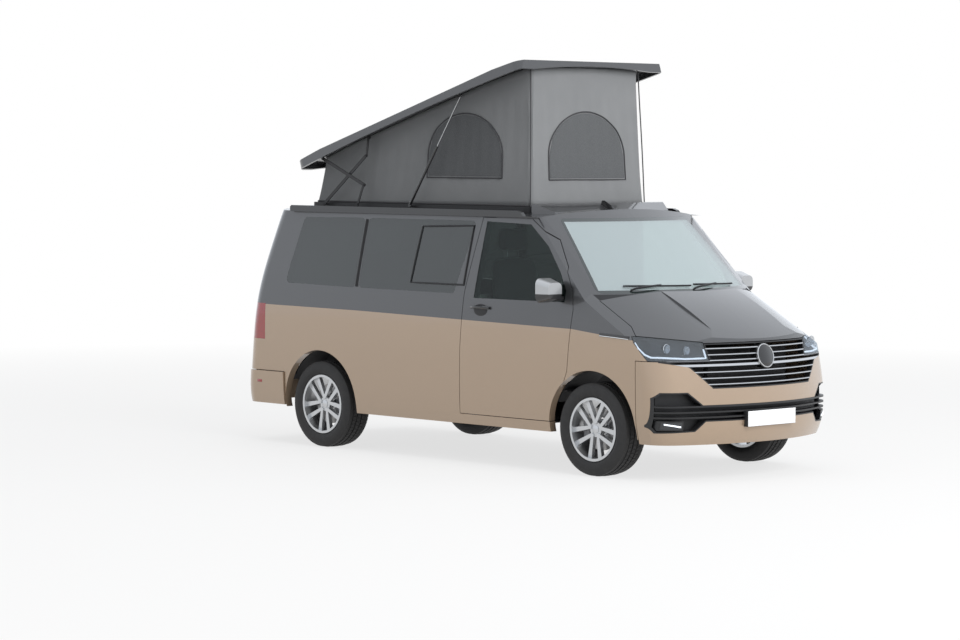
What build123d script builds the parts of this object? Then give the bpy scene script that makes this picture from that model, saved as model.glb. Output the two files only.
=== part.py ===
from build123d import *
import math
import os

# Camper van with an elevating roof, standing as parked with the roof raised.
# Millimetres, +Z up, front of the van towards -Y, its right side towards -X.
# The origin is on the ground, under the centre of the van's length and width.

# Overall sizes
LENGTH = 4904.0
WHEELBASE = 3000.0
FRONT_OVERHANG = 908.0
TRACK = 1628.0
FRONT_AXLE_Y = -LENGTH / 2 + FRONT_OVERHANG
REAR_AXLE_Y = FRONT_AXLE_Y + WHEELBASE

# Walls and clearances
WALL = 60.0
ROOF_SKIN = 40.0
GLASS = 8.0
PANEL_GAP = 5.0
SEAT_GAP = 0.4
BEAD_GAP = 2.0

# Wheels
TYRE_RADIUS = 345.0
TYRE_WIDTH = 235.0
RIM_RADIUS = 222.0
RIM_FLANGE = 11.0
RIM_WIDTH = 204.0
RIM_WALL = 8.0
SPOKE_PAIRS = 5
ARCH_RADIUS = 430.0
LINER = 12.0
LINER_OUTER_X = 866.0
WHEEL_X = TRACK / 2
KINGPIN_X = 738.0

# Heights of the body
SILL_Z = 300.0
DOOR_FOOT_Z = 380.0
DOOR_HEAD_Z = 1864.0
FLOOR_Z = 560.0
FLOOR_THICK = 40.0
BUMPER_TOP_Z = 866.0
REAR_BUMPER_TOP_Z = 578.0
ROOF_CROWN_Z = 1930.0
ROOF_SIDE_Z = 1855.0

# Body sections: height, half width, front y at the centre, rear y at the centre
SECTIONS = (
    (180.0, 880.0, -2360.0, 2370.0),
    (420.0, 940.0, -2452.0, 2438.0),
    (760.0, 952.0, -2424.0, 2405.0),
    (1080.0, 950.0, -2342.0, 2365.0),
    (1260.0, 938.0, -2290.0, 2330.0),
    (1600.0, 893.0, -2200.0, 2235.0),
    (2000.0, 824.0, -2050.0, 2090.0),
)
FRONT_BOW = 240.0
REAR_BOW = 45.0
FRONT_CORNER = 240.0
REAR_CORNER = 140.0
FRONT_TUCK = 22.0
REAR_TUCK = 14.0

# Windscreen surface: height, y at the centre, y at 800 mm to the side
SCREEN_LINES = (
    (1000.0, -2066.0, -1833.0),
    (2100.0, -823.0, -686.0),
)
SCREEN_HALF = 800.0
SCREEN_SLOPE = 1.45
LIMIT_HALF = 1000.0

# Bonnet line along the centre (y, z) and the radius of its crown across
BONNET_LINE = ((-2560.0, 860.0), (-2050.0, 1212.0), (-1330.0, 1500.0))
BONNET_CROWN = 4500.0
BONNET_SECTOR = 28.0

# The bonnet's shoulders: they fall away outside a crease on each side
SHOULDER_RADIUS = 1500.0
SHOULDER_FRONT = (570.0, -2285.0, 1010.0)
SHOULDER_REAR = (615.0, -1700.0, 1305.0)
SHOULDER_OUTER = (890.0, -1930.0, 1045.0)

# The bonnet from above: half widths, and its rear edge, which bows like the foot of the screen
BONNET_HALF = 848.0
BONNET_FRONT_HALF = 892.0
BONNET_SHOULDER_Y = -1861.0
BONNET_FRONT_CORNER_Y = -1960.0
BONNET_REAR_SIDE = -1545.0
BONNET_REAR_CENTRE = -1790.0
BONNET_THICK = 28.0
COWL_STEP = 30.0

# Elevating roof: the pole it turns about, and its closing angle
POLE_Y = 2938.0
POLE_Z = 2334.0
ROOF_ANGLE = 17.0
PANEL_FRONT_Y = -674.0
PANEL_REAR_Y = 1990.0
PANEL_HALF = 790.0
PANEL_RIM_Z = 1908.0
PANEL_EDGE_Z = 1972.0
PANEL_BOW = 28.0
PANEL_CROWN = 16.0
PANEL_RIM = 24.0
PANEL_SKIN = 26.0
ROOF_CLEARANCE = 8.0

STEP = {}


def body_section(z, half_width, front, rear, inset):
    """One level section of the body, moved inwards by inset."""
    side = half_width - inset
    front_x = side - FRONT_TUCK
    rear_x = side - REAR_TUCK
    front_y = front + FRONT_BOW
    rear_y = rear - REAR_BOW
    with BuildSketch(Plane.XY.offset(z)) as section:
        with BuildLine():
            ThreePointArc((-front_x, front_y), (0, front + inset), (front_x, front_y))
            ThreePointArc((front_x, front_y), (side, 0), (rear_x, rear_y))
            ThreePointArc((rear_x, rear_y), (0, rear - inset), (-rear_x, rear_y))
            ThreePointArc((-rear_x, rear_y), (-side, 0), (-front_x, front_y))
        make_face()
        fillet(section.vertices().sort_by(Axis.Y)[:2], FRONT_CORNER - inset)
        fillet(section.vertices().sort_by(Axis.Y)[-2:], REAR_CORNER - inset)
    return section.sketch


def body_volume(inset, lower, stepped=True):
    """The closed form of the body, moved inwards by inset and down by lower.

    Behind the bonnet it steps down to the windscreen's surface, unless stepped is false.
    """
    with BuildPart() as volume:
        for z, half_width, front, rear in SECTIONS:
            add(body_section(z, half_width, front, rear, inset))
        loft()
        with BuildSketch(Plane.XZ):
            with BuildLine():
                crown = ThreePointArc(
                    (-1000, ROOF_SIDE_Z - lower), (0, ROOF_CROWN_Z - lower), (1000, ROOF_SIDE_Z - lower)
                )
                Polyline(crown @ 1, (1000, 0), (-1000, 0), crown @ 0)
            make_face()
        extrude(amount=LENGTH, both=True, mode=Mode.INTERSECT)
        add(nose_limit(inset, stepped), mode=Mode.INTERSECT)
        split(bisect_by=Plane.YZ)
        mirror(about=Plane.YZ)
    return volume.part


def behind_bonnet(inset):
    """What lies behind the step under the bonnet's rear edge."""
    half = BONNET_HALF + inset
    shift = -COWL_STEP - inset
    with BuildPart() as region:
        with BuildSketch(Plane.XY.offset(SCREEN_LINES[0][0] + 10)):
            with BuildLine():
                front = ThreePointArc(
                    (-half, BONNET_REAR_SIDE + shift), (0, BONNET_REAR_CENTRE + shift), (half, BONNET_REAR_SIDE + shift)
                )
                Polyline(front @ 1, (half, -1300), (-half, -1300), front @ 0)
            make_face()
        extrude(amount=1000)
    return region.part


def over_shoulder(inset):
    """What lies above the left shoulder of the bonnet, which rounds over outside its crease."""
    front = Vector(*SHOULDER_FRONT)
    along = (Vector(*SHOULDER_REAR) - front).normalized()
    across = Vector(*SHOULDER_OUTER) - front
    across = across - along * across.dot(along)
    up = across.cross(along).normalized()
    if up.Z < 0:
        up = -up
    half = across.length / 2
    depth = math.sqrt(SHOULDER_RADIUS**2 - half**2)
    centre = front + across * 0.5 - up * depth
    with BuildPart() as above:
        with BuildSketch(Plane.XY.offset(700)):
            with Locations((900, -2000)):
                Rectangle(1000, 1600)
        extrude(amount=1000)
        with BuildSketch(Plane(origin=centre - along * 1500, x_dir=across, z_dir=along)):
            Circle(SHOULDER_RADIUS - inset)
        extrude(amount=4000, mode=Mode.SUBTRACT)
    return above.part


def nose_limit(inset, stepped):
    """Everything behind the windscreen's surface or under the bonnet's."""
    shift = SCREEN_SLOPE * inset
    with BuildPart() as screen:
        for z, centre, side in SCREEN_LINES:
            with BuildSketch(Plane.XY.offset(z)):
                with BuildLine():
                    bow = ThreePointArc(
                        (-SCREEN_HALF, side + shift), (0, centre + shift), (SCREEN_HALF, side + shift)
                    )
                    Polyline(
                        bow @ 1, (LIMIT_HALF, side + shift + 125), (LIMIT_HALF, LENGTH),
                        (-LIMIT_HALF, LENGTH), (-LIMIT_HALF, side + shift + 125), bow @ 0,
                    )
                make_face()
        loft(ruled=True)
    low, middle, high = BONNET_LINE
    crown_axis = Axis((0, 0, middle[1] - BONNET_CROWN), (0, 1, 0))
    with BuildPart() as under_bonnet:
        with BuildSketch(Plane.YZ):
            with BuildLine():
                line = ThreePointArc(
                    (low[0], low[1] - inset), (middle[0], middle[1] - inset), (high[0], high[1] - inset)
                )
                Polyline(line @ 1, (high[0], 100), (low[0], 100), line @ 0)
            make_face()
        revolve(axis=crown_axis, revolution_arc=BONNET_SECTOR)
    sector = under_bonnet.part.rotate(crown_axis, -BONNET_SECTOR / 2)
    sector = sector - over_shoulder(inset) - mirror(over_shoulder(inset), about=Plane.YZ)
    if stepped:
        sector = sector - behind_bonnet(inset)
    with BuildPart() as limit:
        add(screen.part)
        add(sector)
        with BuildSketch(Plane.YZ.offset(-LIMIT_HALF)):
            with BuildLine():
                Polyline((high[0] - 5, 100), (LENGTH, 100), (LENGTH, 1300), (high[0] - 5, 1300), close=True)
            make_face()
        extrude(amount=2 * LIMIT_HALF)
    return limit.part


def side_cut(points, x_from, x_to, radius=0.0):
    """A prism across the van from an outline of (y, z) points."""
    with BuildPart() as prism:
        with BuildSketch(Plane.YZ.offset(x_from)) as outline:
            with BuildLine():
                Polyline(*points, close=True)
            make_face()
            if radius:
                fillet(outline.vertices(), radius)
        extrude(amount=x_to - x_from)
    return prism.part


def front_cut(points, y_from, y_to, radius=0.0):
    """A prism along the van from an outline of (x, z) points."""
    with BuildPart() as prism:
        with BuildSketch(Plane.XZ.offset(-y_from)) as outline:
            with BuildLine():
                Polyline(*points, close=True)
            make_face()
            if radius:
                fillet(outline.vertices(), radius)
        extrude(amount=y_from - y_to)
    return prism.part


def plan_cut(points, z_from, z_to, radius=0.0):
    """An upright prism from an outline of (x, y) points."""
    with BuildPart() as prism:
        with BuildSketch(Plane.XY.offset(z_from)) as outline:
            with BuildLine():
                Polyline(*points, close=True)
            make_face()
            if radius:
                fillet(outline.vertices(), radius)
        extrude(amount=z_to - z_from)
    return prism.part


def grown(points, amount):
    """The same outline, moved outwards by amount."""
    with BuildSketch() as outline:
        with BuildLine():
            Polyline(*points, close=True)
        make_face()
        offset(amount=amount, kind=Kind.INTERSECTION)
    corners = outline.face().outer_wire().order_edges()
    return [((edge @ 0).X, (edge @ 0).Y) for edge in corners]


def both_sides(points):
    """The outline of (x, z) points mirrored to the other side as well."""
    return list(points) + [(-x, z) for x, z in reversed(points)]


def cross_cylinder(y, z, radius, x_from, x_to):
    """A cylinder lying across the van."""
    with BuildPart() as cylinder:
        with BuildSketch(Plane.YZ.offset(x_from)):
            with Locations((y, z)):
                Circle(radius)
        extrude(amount=x_to - x_from)
    return cylinder.part


def keep(name, part):
    """Label a finished piece and put it on the list of pieces to export."""
    part.label = name
    STEP[name] = part


outer = body_volume(0.0, 0.0)
inner = body_volume(WALL, ROOF_SKIN)
glass_inner = body_volume(GLASS, GLASS)

# Outlines seen from the side, as (y, z)
DOOR_OUTLINE = (
    (-167.0, DOOR_FOOT_Z), (-177.0, 873.0), (-206.0, 1297.0), (-326.0, DOOR_HEAD_Z), (-842.0, DOOR_HEAD_Z - 4),
    (-1085.0, 1712.0), (-1245.0, 1515.0), (-1335.0, 1340.0), (-1351.0, 1210.0), (-1328.0, 1037.0),
    (-1300.0, 756.0), (-1140.0, DOOR_FOOT_Z),
)
DOOR_WINDOW = (
    (-308.0, 1258.0), (-368.0, 1836.0), (-835.0, 1822.0), (-1040.0, 1668.0), (-1194.0, 1480.0),
    (-1268.0, 1350.0), (-1262.0, 1262.0),
)
SLIDING_OUTLINE = (
    (-120.0, DOOR_FOOT_Z), (-130.0, 873.0), (-158.0, 1297.0), (-278.0, DOOR_HEAD_Z), (985.0, DOOR_HEAD_Z),
    (1030.0, 1240.0), (1020.0, 800.0), (1010.0, DOOR_FOOT_Z),
)
FRONT_SIDE_WINDOW = ((-90.0, 1285.0), (-262.0, 1838.0), (958.0, 1836.0), (1000.0, 1290.0))
REAR_SIDE_WINDOW = ((1046.0, 1290.0), (1004.0, 1836.0), (1742.0, 1828.0), (1895.0, 1300.0))

# Outlines seen from the front or the back, as (x, z) for one side
SCREEN_FOOT_Z = 1326.0
SCREEN_OPENING = both_sides(((818.0, SCREEN_FOOT_Z), (692.0, 1866.0)))
GATE_TOP_Z = 1850.0
TAILGATE_OUTLINE = both_sides(((735.0, 585.0), (735.0, 1110.0), (690.0, GATE_TOP_Z)))
TAILGATE_WINDOW = both_sides(((655.0, 1215.0), (610.0, 1760.0)))
TAIL_LAMP_OUTLINE = ((762.0, 835.0), (1000.0, 835.0), (1000.0, 1124.0), (755.0, 1124.0))
LAMP_FOOT_Z = BUMPER_TOP_Z + PANEL_GAP
GRILLE_OUTLINE = both_sides((
    (526.0, 671.0), (690.0, 826.0), (884.0, 861.0), (884.0, LAMP_FOOT_Z), (520.0, LAMP_FOOT_Z), (548.0, 992.0),
))
INTAKE_OUTLINE = both_sides((
    (590.0, 437.0), (664.0, 366.0), (900.0, 356.0), (920.0, 400.0), (922.0, 610.0), (893.0, 649.0),
    (722.0, 649.0), (613.0, 556.0),
))
HEADLAMP_OUTLINE = (
    (526.0, LAMP_FOOT_Z), (1000.0, LAMP_FOOT_Z), (1000.0, 1054.0), (554.0, 999.0),
)
HEADLAMP_SIDE = ((-2600.0, 780.0), (-2180.0, 780.0), (-1859.0, 1101.0), (-2600.0, 1101.0))
FOG_OUTLINE = ((765.0, 385.0), (885.0, 385.0), (885.0, 437.0), (765.0, 437.0))
NOSE_CUT_Y = -2000.0
INTAKE_CUT_Y = -2060.0

# Outlines seen from above, as (x, y)
HATCH_HALF = 540.0
HATCH_FRONT_Y = -520.0
HATCH_REAR_Y = 1720.0
HATCH_PLAN = (
    (-HATCH_HALF, HATCH_FRONT_Y), (HATCH_HALF, HATCH_FRONT_Y),
    (HATCH_HALF, HATCH_REAR_Y), (-HATCH_HALF, HATCH_REAR_Y),
)

# The scuttle starts under the bonnet's rear edge and ends at the foot of the screen
BONNET_LIP_Z = 997.0
SCUTTLE_FRONT_CENTRE = BONNET_REAR_CENTRE - 24.0
SCUTTLE_FRONT_SIDE = BONNET_REAR_SIDE + PANEL_GAP
SCUTTLE_REAR_Y = -1460.0
SCUTTLE_TOP_Z = SCREEN_FOOT_Z - 4.0


def bonnet_region(gap):
    """The bonnet's outline from above, made larger by gap."""
    with BuildPart() as region:
        with BuildSketch(Plane.XY.offset(BONNET_LIP_Z - gap)):
            with BuildLine():
                half = BONNET_HALF + gap
                front_half = BONNET_FRONT_HALF + gap
                rear = ThreePointArc(
                    (-half, BONNET_REAR_SIDE + gap), (0, BONNET_REAR_CENTRE + gap), (half, BONNET_REAR_SIDE + gap)
                )
                Polyline(
                    rear @ 1, (half, BONNET_SHOULDER_Y), (front_half, BONNET_FRONT_CORNER_Y), (front_half, -2600),
                    (-front_half, -2600), (-front_half, BONNET_FRONT_CORNER_Y), (-half, BONNET_SHOULDER_Y), rear @ 0,
                )
            make_face()
        extrude(amount=500)
    return region.part


def scuttle_region(gap, overlap):
    """The strip between the bonnet's rear edge and the foot of the screen."""
    with BuildPart() as region:
        with BuildSketch(Plane.XY.offset(1100.0)):
            with BuildLine():
                half = BONNET_HALF + gap
                front = ThreePointArc(
                    (-half, SCUTTLE_FRONT_SIDE - overlap),
                    (0, SCUTTLE_FRONT_CENTRE - overlap),
                    (half, SCUTTLE_FRONT_SIDE - overlap),
                )
                Polyline(front @ 1, (half, SCUTTLE_REAR_Y), (-half, SCUTTLE_REAR_Y), front @ 0)
            make_face()
        extrude(amount=SCUTTLE_TOP_Z + gap - 1100.0)
    return region.part


with BuildPart() as wall:
    add(outer)
    add(inner, mode=Mode.SUBTRACT)
with BuildPart() as skin:
    add(outer)
    add(glass_inner, mode=Mode.SUBTRACT)

FAR = 1100.0
NEAR = 780.0
GATE_Y = 2030.0
NOSE_Y = -1840.0


def block(x_from, x_to, y_from, y_to, z_from, z_to):
    """A plain box between two corners."""
    with BuildPart() as box:
        with BuildSketch(Plane.XY.offset(z_from)):
            with Locations(((x_from + x_to) / 2, (y_from + y_to) / 2)):
                Rectangle(x_to - x_from, y_to - y_from)
        extrude(amount=z_to - z_from)
    return box.part


right_box = block(-FAR, -NEAR, -1400, 1960, DOOR_FOOT_Z - 20, 1880)
nose_box = block(0, FAR, -2600, NOSE_Y, 100, 1400)
gate_box = block(-FAR, FAR, GATE_Y, 2600, 500, 1880)
screen_box = block(-FAR, FAR, -1745, -850, 1150, 1900)
right_wall = wall.part & right_box
left_wall = mirror(right_wall, about=Plane.YZ)
nose_wall = wall.part & nose_box
gate_wall = wall.part & gate_box
right_skin = skin.part & right_box
gate_skin = skin.part & gate_box
screen_skin = skin.part & screen_box
front_arch = cross_cylinder(FRONT_AXLE_Y, TYRE_RADIUS, ARCH_RADIUS, -FAR, FAR)
rear_arch = cross_cylinder(REAR_AXLE_Y, TYRE_RADIUS, ARCH_RADIUS, -FAR, FAR)

# Front bumper: the painted nose below the lamps, with the grille and intake cut
BUMPER_SEAM_Y = -1985.0
FRONT_LIP_Z = 268.0
REAR_LIP_Z = 315.0
REAR_SEAM_Y = 1893.0
REAR_BUMPER_PROUD = 14.0
with BuildPart() as bumpers:
    add(wall.part & block(0, FAR, -2600, BUMPER_SEAM_Y, FRONT_LIP_Z, BUMPER_TOP_Z))
    add(front_cut(GRILLE_OUTLINE, -2600, NOSE_CUT_Y), mode=Mode.SUBTRACT)
    add(front_cut(INTAKE_OUTLINE, -2600, INTAKE_CUT_Y), mode=Mode.SUBTRACT)
    add(front_arch, mode=Mode.SUBTRACT)
    mirror(about=Plane.YZ)
rear_grown = body_volume(-REAR_BUMPER_PROUD, 0.0)
with BuildPart() as rear_bumper:
    add(rear_grown)
    add(inner, mode=Mode.SUBTRACT)
    add(front_cut(((-FAR, REAR_LIP_Z), (FAR, REAR_LIP_Z), (FAR, REAR_BUMPER_TOP_Z), (-FAR, REAR_BUMPER_TOP_Z)),
                  REAR_SEAM_Y, 2600), mode=Mode.INTERSECT)
    add(rear_arch, mode=Mode.SUBTRACT)
with BuildPart() as bumper_pair:
    add(bumpers.part)
    add(rear_bumper.part)
keep("bumpers", bumper_pair.part)

# Body shell: wings, pillars, sills, rear side panels and fixed roof in one
def lamp_region(gap, side):
    """A headlamp's outline, wrapping round the corner of the nose."""
    with BuildPart() as region:
        add(front_cut([(side * x, z) for x, z in grown(HEADLAMP_OUTLINE, gap)], -2600, -1800))
        add(side_cut(grown(HEADLAMP_SIDE, gap), -FAR, FAR), mode=Mode.INTERSECT)
    return region.part


def fog_region(gap, side):
    """A fog lamp's outline in the intake's outer end."""
    return front_cut([(side * x, z) for x, z in grown(FOG_OUTLINE, gap)], -2600, INTAKE_CUT_Y)


def tail_region(gap, side):
    """A tail lamp's outline at the rear corner."""
    return front_cut([(side * x, z) for x, z in grown(TAIL_LAMP_OUTLINE, gap)], 2130 - gap, 2600)


def behind_lamp(gap, side):
    """All that lies straight behind a headlamp, which the bonnet stays out of."""
    return front_cut([(side * x, z) for x, z in grown(HEADLAMP_OUTLINE, gap)], -2600, -1700)


bonnet_gap = bonnet_region(PANEL_GAP)
for side in (-1, 1):
    bonnet_gap -= behind_lamp(0.0, side)
shell_cuts = [
    block(-FAR, FAR, -2600, 2600, 100, SILL_Z),
    block(-FAR, FAR, -2600, BUMPER_SEAM_Y + PANEL_GAP, 100, BUMPER_TOP_Z + PANEL_GAP),
    block(-FAR, FAR, REAR_SEAM_Y - PANEL_GAP, 2600, 100, REAR_BUMPER_TOP_Z + PANEL_GAP),
    front_cut(grown(GRILLE_OUTLINE, PANEL_GAP), -2600, NOSE_CUT_Y),
    bonnet_gap,
    scuttle_region(SEAT_GAP, PANEL_GAP / 2),
    front_cut(SCREEN_OPENING, -2100, -600, 40),
    front_cut(grown(TAILGATE_OUTLINE, PANEL_GAP), GATE_Y, 2600),
    side_cut(grown(DOOR_OUTLINE, PANEL_GAP), -FAR, -NEAR),
    side_cut(grown(DOOR_OUTLINE, PANEL_GAP), NEAR, FAR),
    side_cut(grown(SLIDING_OUTLINE, PANEL_GAP), NEAR, FAR),
    side_cut(FRONT_SIDE_WINDOW, -FAR, -NEAR, 40),
    side_cut(REAR_SIDE_WINDOW, -FAR, -NEAR, 40),
    side_cut(REAR_SIDE_WINDOW, NEAR, FAR, 40),
    plan_cut(HATCH_PLAN, 1700, 2100, 90),
    front_arch,
    rear_arch,
]
for side in (-1, 1):
    shell_cuts.append(lamp_region(PANEL_GAP / 2, side))
    shell_cuts.append(tail_region(SEAT_GAP, side))
# A raised header on the fixed roof, just ahead of the elevating panel
HEADER_REAR_Y = PANEL_FRONT_Y - 30.0
HEADER_TOP_Z = PANEL_EDGE_Z + 2.0
with BuildPart() as header:
    add(side_cut(((HEADER_REAR_Y - 165, 1870), (HEADER_REAR_Y - 150, 1912), (HEADER_REAR_Y - 16, HEADER_TOP_Z - 4),
                  (HEADER_REAR_Y, HEADER_TOP_Z), (HEADER_REAR_Y, 1870)), -720, 720))
    add(plan_cut(((-720, HEADER_REAR_Y), (-612, HEADER_REAR_Y - 170), (612, HEADER_REAR_Y - 170),
                  (720, HEADER_REAR_Y)), 1800, 2000), mode=Mode.INTERSECT)
    add(inner, mode=Mode.SUBTRACT)
# Tailgate hinges: a barrel and its leaf at the roof's rear edge on each side
GATE_HINGE_Y = 2152.0
GATE_HINGE_Z = GATE_TOP_Z + 8.0
BARREL_RADIUS = GATE_HINGE_Z - GATE_TOP_Z - SEAT_GAP
HINGE_X = 430.0
HINGE_LENGTH = 70.0
with BuildPart() as gate_hinge:
    add(cross_cylinder(GATE_HINGE_Y, GATE_HINGE_Z, BARREL_RADIUS, HINGE_X, HINGE_X + HINGE_LENGTH))
    add(block(HINGE_X, HINGE_X + HINGE_LENGTH, GATE_HINGE_Y - 60, GATE_HINGE_Y, GATE_HINGE_Z - 4, GATE_HINGE_Z + 7))
    mirror(about=Plane.YZ)
with BuildPart() as body_shell:
    add(wall.part)
    add(shell_cuts, mode=Mode.SUBTRACT)
    add(header.part)
    add(gate_hinge.part)
keep("body_shell", body_shell.part)


# Bonnet, scuttle, grille and lamps
under_bonnet = body_volume(BONNET_THICK, BONNET_THICK, stepped=False)
with BuildPart() as bonnet:
    add(body_volume(0.0, 0.0, stepped=False))
    add(under_bonnet, mode=Mode.SUBTRACT)
    add(bonnet_region(0.0), mode=Mode.INTERSECT)
    add(behind_lamp(PANEL_GAP, -1), mode=Mode.SUBTRACT)
    add(behind_lamp(PANEL_GAP, 1), mode=Mode.SUBTRACT)
keep("bonnet", bonnet.part)

# Rubber seal that stands on the scuttle and meets the underside of the bonnet
SEAL_HALF = 300.0
SEAL_Y = BONNET_REAR_CENTRE - 16.0
SEAL_BOW = (BONNET_REAR_SIDE - BONNET_REAR_CENTRE) * (SEAL_HALF / BONNET_HALF) ** 2
SEAL_THICK = 10.0
with BuildPart() as seal:
    with BuildSketch(Plane.XY.offset(1200)):
        with BuildLine():
            back = ThreePointArc((-SEAL_HALF, SEAL_Y + SEAL_THICK + SEAL_BOW), (0, SEAL_Y + SEAL_THICK),
                                 (SEAL_HALF, SEAL_Y + SEAL_THICK + SEAL_BOW))
            front = ThreePointArc((SEAL_HALF, SEAL_Y + SEAL_BOW), (0, SEAL_Y), (-SEAL_HALF, SEAL_Y + SEAL_BOW))
            Line(back @ 1, front @ 0)
            Line(front @ 1, back @ 0)
        make_face()
    extrude(amount=200)
    add(Pos(0, 0, -SEAT_GAP) * under_bonnet, mode=Mode.INTERSECT)
with BuildPart() as scuttle:
    add(wall.part & block(-FAR, FAR, -1900, -1440, 1100, 1400))
    add(scuttle_region(0.0, 0.0), mode=Mode.INTERSECT)
    add(front_cut(SCREEN_OPENING, -2100, -600, 40), mode=Mode.SUBTRACT)
    add(seal.part)
keep("scuttle", scuttle.part)

# Grille: bars left standing between open slots, round a blank disc, and the lower intake
MAIN_BAR_Z = 838.0
BAR_HEIGHTS = (702.0, 746.0, 790.0, MAIN_BAR_Z, 872.0, 912.0, 956.0)
BAR_THICK = 11.0
MAIN_BAR_THICK = 20.0
FIN_HEIGHTS = (468.0, 506.0, 546.0)
FIN_THICK = 12.0
BADGE_RADIUS = 88.0
BADGE_Z = 889.0
GRILLE_RIM = 9.0
with BuildPart() as grille_slots:
    with BuildSketch(Plane.XZ.offset(2000)):
        Polygon(*grown(GRILLE_OUTLINE, -GRILLE_RIM), align=None)
        for z in BAR_HEIGHTS:
            with Locations((0, z)):
                Rectangle(2 * FAR, MAIN_BAR_THICK if z == MAIN_BAR_Z else BAR_THICK, mode=Mode.SUBTRACT)
        with Locations((0, BADGE_Z)):
            Circle(BADGE_RADIUS, mode=Mode.SUBTRACT)
    extrude(amount=600)
with BuildPart() as intake_slots:
    with BuildSketch(Plane.XZ.offset(2000)):
        Polygon(*grown(INTAKE_OUTLINE, -GRILLE_RIM), align=None)
        for z in FIN_HEIGHTS:
            with Locations((0, z)):
                Rectangle(2 * FAR, FIN_THICK, mode=Mode.SUBTRACT)
        Polygon(*grown(FOG_OUTLINE, GRILLE_RIM), align=None, mode=Mode.SUBTRACT)
    extrude(amount=600)
with BuildPart() as grille:
    add(nose_wall & front_cut(grown(GRILLE_OUTLINE, -SEAT_GAP), -2600, NOSE_CUT_Y - SEAT_GAP))
    add(grille_slots.part, mode=Mode.SUBTRACT)
with BuildPart() as intake:
    add(nose_wall & front_cut(grown(INTAKE_OUTLINE, -SEAT_GAP), -2600, INTAKE_CUT_Y - SEAT_GAP))
    add([intake_slots.part, fog_region(SEAT_GAP, 1)], mode=Mode.SUBTRACT)
with BuildPart() as grille_pair:
    add(grille.part)
    add(intake.part)
    mirror(about=Plane.YZ)
keep("grille", grille_pair.part)

with BuildPart() as lamps:
    add(nose_wall & lamp_region(0.0, 1))
    add(nose_wall & fog_region(0.0, 1))
    add(gate_wall & tail_region(0.0, 1))
    mirror(about=Plane.YZ)
keep("lamps", lamps.part)

# Glass that stays with the body, and the sliding door on the left side
right_panes = [
    right_skin & side_cut(grown(outline, -SEAT_GAP), -FAR, -NEAR, 40)
    for outline in (FRONT_SIDE_WINDOW, REAR_SIDE_WINDOW)
]
with BuildPart() as fixed_glass:
    add(screen_skin & front_cut(grown(SCREEN_OPENING, -SEAT_GAP), -2100, -600, 40))
    for pane in right_panes:
        add(pane)
        add(mirror(pane, about=Plane.YZ))
keep("fixed_glass", fixed_glass.part)

with BuildPart() as sliding_door:
    add(left_wall)
    add(side_cut(SLIDING_OUTLINE, NEAR, FAR), mode=Mode.INTERSECT)
    add(side_cut(FRONT_SIDE_WINDOW, NEAR, FAR, 40), mode=Mode.SUBTRACT)
    add(rear_arch, mode=Mode.SUBTRACT)
keep("sliding_door", sliding_door.part)

# Tailgate
with BuildPart() as tailgate:
    add(gate_wall)
    add(front_cut(TAILGATE_OUTLINE, GATE_Y, 2600), mode=Mode.INTERSECT)
    add(front_cut(TAILGATE_WINDOW, GATE_Y, 2600, 40), mode=Mode.SUBTRACT)
    for x in (-HINGE_X - HINGE_LENGTH, HINGE_X):
        add(block(x, x + HINGE_LENGTH, GATE_HINGE_Y - 20, GATE_HINGE_Y - 4, GATE_TOP_Z - 10, GATE_TOP_Z + 3))
    add(cross_cylinder(GATE_HINGE_Y, GATE_HINGE_Z, BARREL_RADIUS + SEAT_GAP, -FAR, FAR), mode=Mode.SUBTRACT)
keep("tailgate", tailgate.part)
with BuildPart() as tailgate_glass:
    add(gate_skin)
    add(front_cut(grown(TAILGATE_WINDOW, -SEAT_GAP), GATE_Y, 2600, 40), mode=Mode.INTERSECT)
keep("tailgate_glass", tailgate_glass.part)

# Front doors, made for the right side and mirrored
with BuildPart() as door_right:
    add(right_wall)
    add(side_cut(DOOR_OUTLINE, -FAR, -NEAR), mode=Mode.INTERSECT)
    add(side_cut(DOOR_WINDOW, -FAR, -NEAR), mode=Mode.SUBTRACT)
    add(cross_cylinder(FRONT_AXLE_Y, TYRE_RADIUS, ARCH_RADIUS + PANEL_GAP, -FAR, -NEAR), mode=Mode.SUBTRACT)
keep("door_right", door_right.part)
keep("door_left", mirror(door_right.part, about=Plane.YZ))
with BuildPart() as door_glass_right:
    add(right_skin)
    add(side_cut(grown(DOOR_WINDOW, -SEAT_GAP), -FAR, -NEAR), mode=Mode.INTERSECT)
keep("door_glass_right", door_glass_right.part)
keep("door_glass_left", mirror(door_glass_right.part, about=Plane.YZ))

# Door mirrors: a foot on the door's shoulder and a rounded head
MIRROR_X = 1055.0
MIRROR_Y = -1180.0
MIRROR_Z = 1350.0
MIRROR_WIDTH = 190.0
MIRROR_HEIGHT = 178.0
MIRROR_DEPTH = 110.0
with BuildPart() as mirror_right:
    with BuildSketch(Plane.XZ.offset(-MIRROR_Y)):
        with Locations((-MIRROR_X, MIRROR_Z)):
            RectangleRounded(MIRROR_WIDTH, MIRROR_HEIGHT, 45)
    with BuildSketch(Plane.XZ.offset(-MIRROR_Y + MIRROR_DEPTH)):
        with Locations((-MIRROR_X, MIRROR_Z)):
            RectangleRounded(MIRROR_WIDTH - 50, MIRROR_HEIGHT - 60, 40)
    loft()
    with BuildSketch(Plane.YZ.offset(-MIRROR_X + 60)):
        with Locations((MIRROR_Y - 45, MIRROR_Z - 62)):
            RectangleRounded(60, 36, 14)
    extrude(amount=140)
    add(outer, mode=Mode.SUBTRACT)
mirror_piece = mirror_right.part.solids().sort_by(Axis.X)[0]
keep("mirror_right", Part() + mirror_piece)
keep("mirror_left", Part() + mirror(mirror_piece, about=Plane.YZ))

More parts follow.
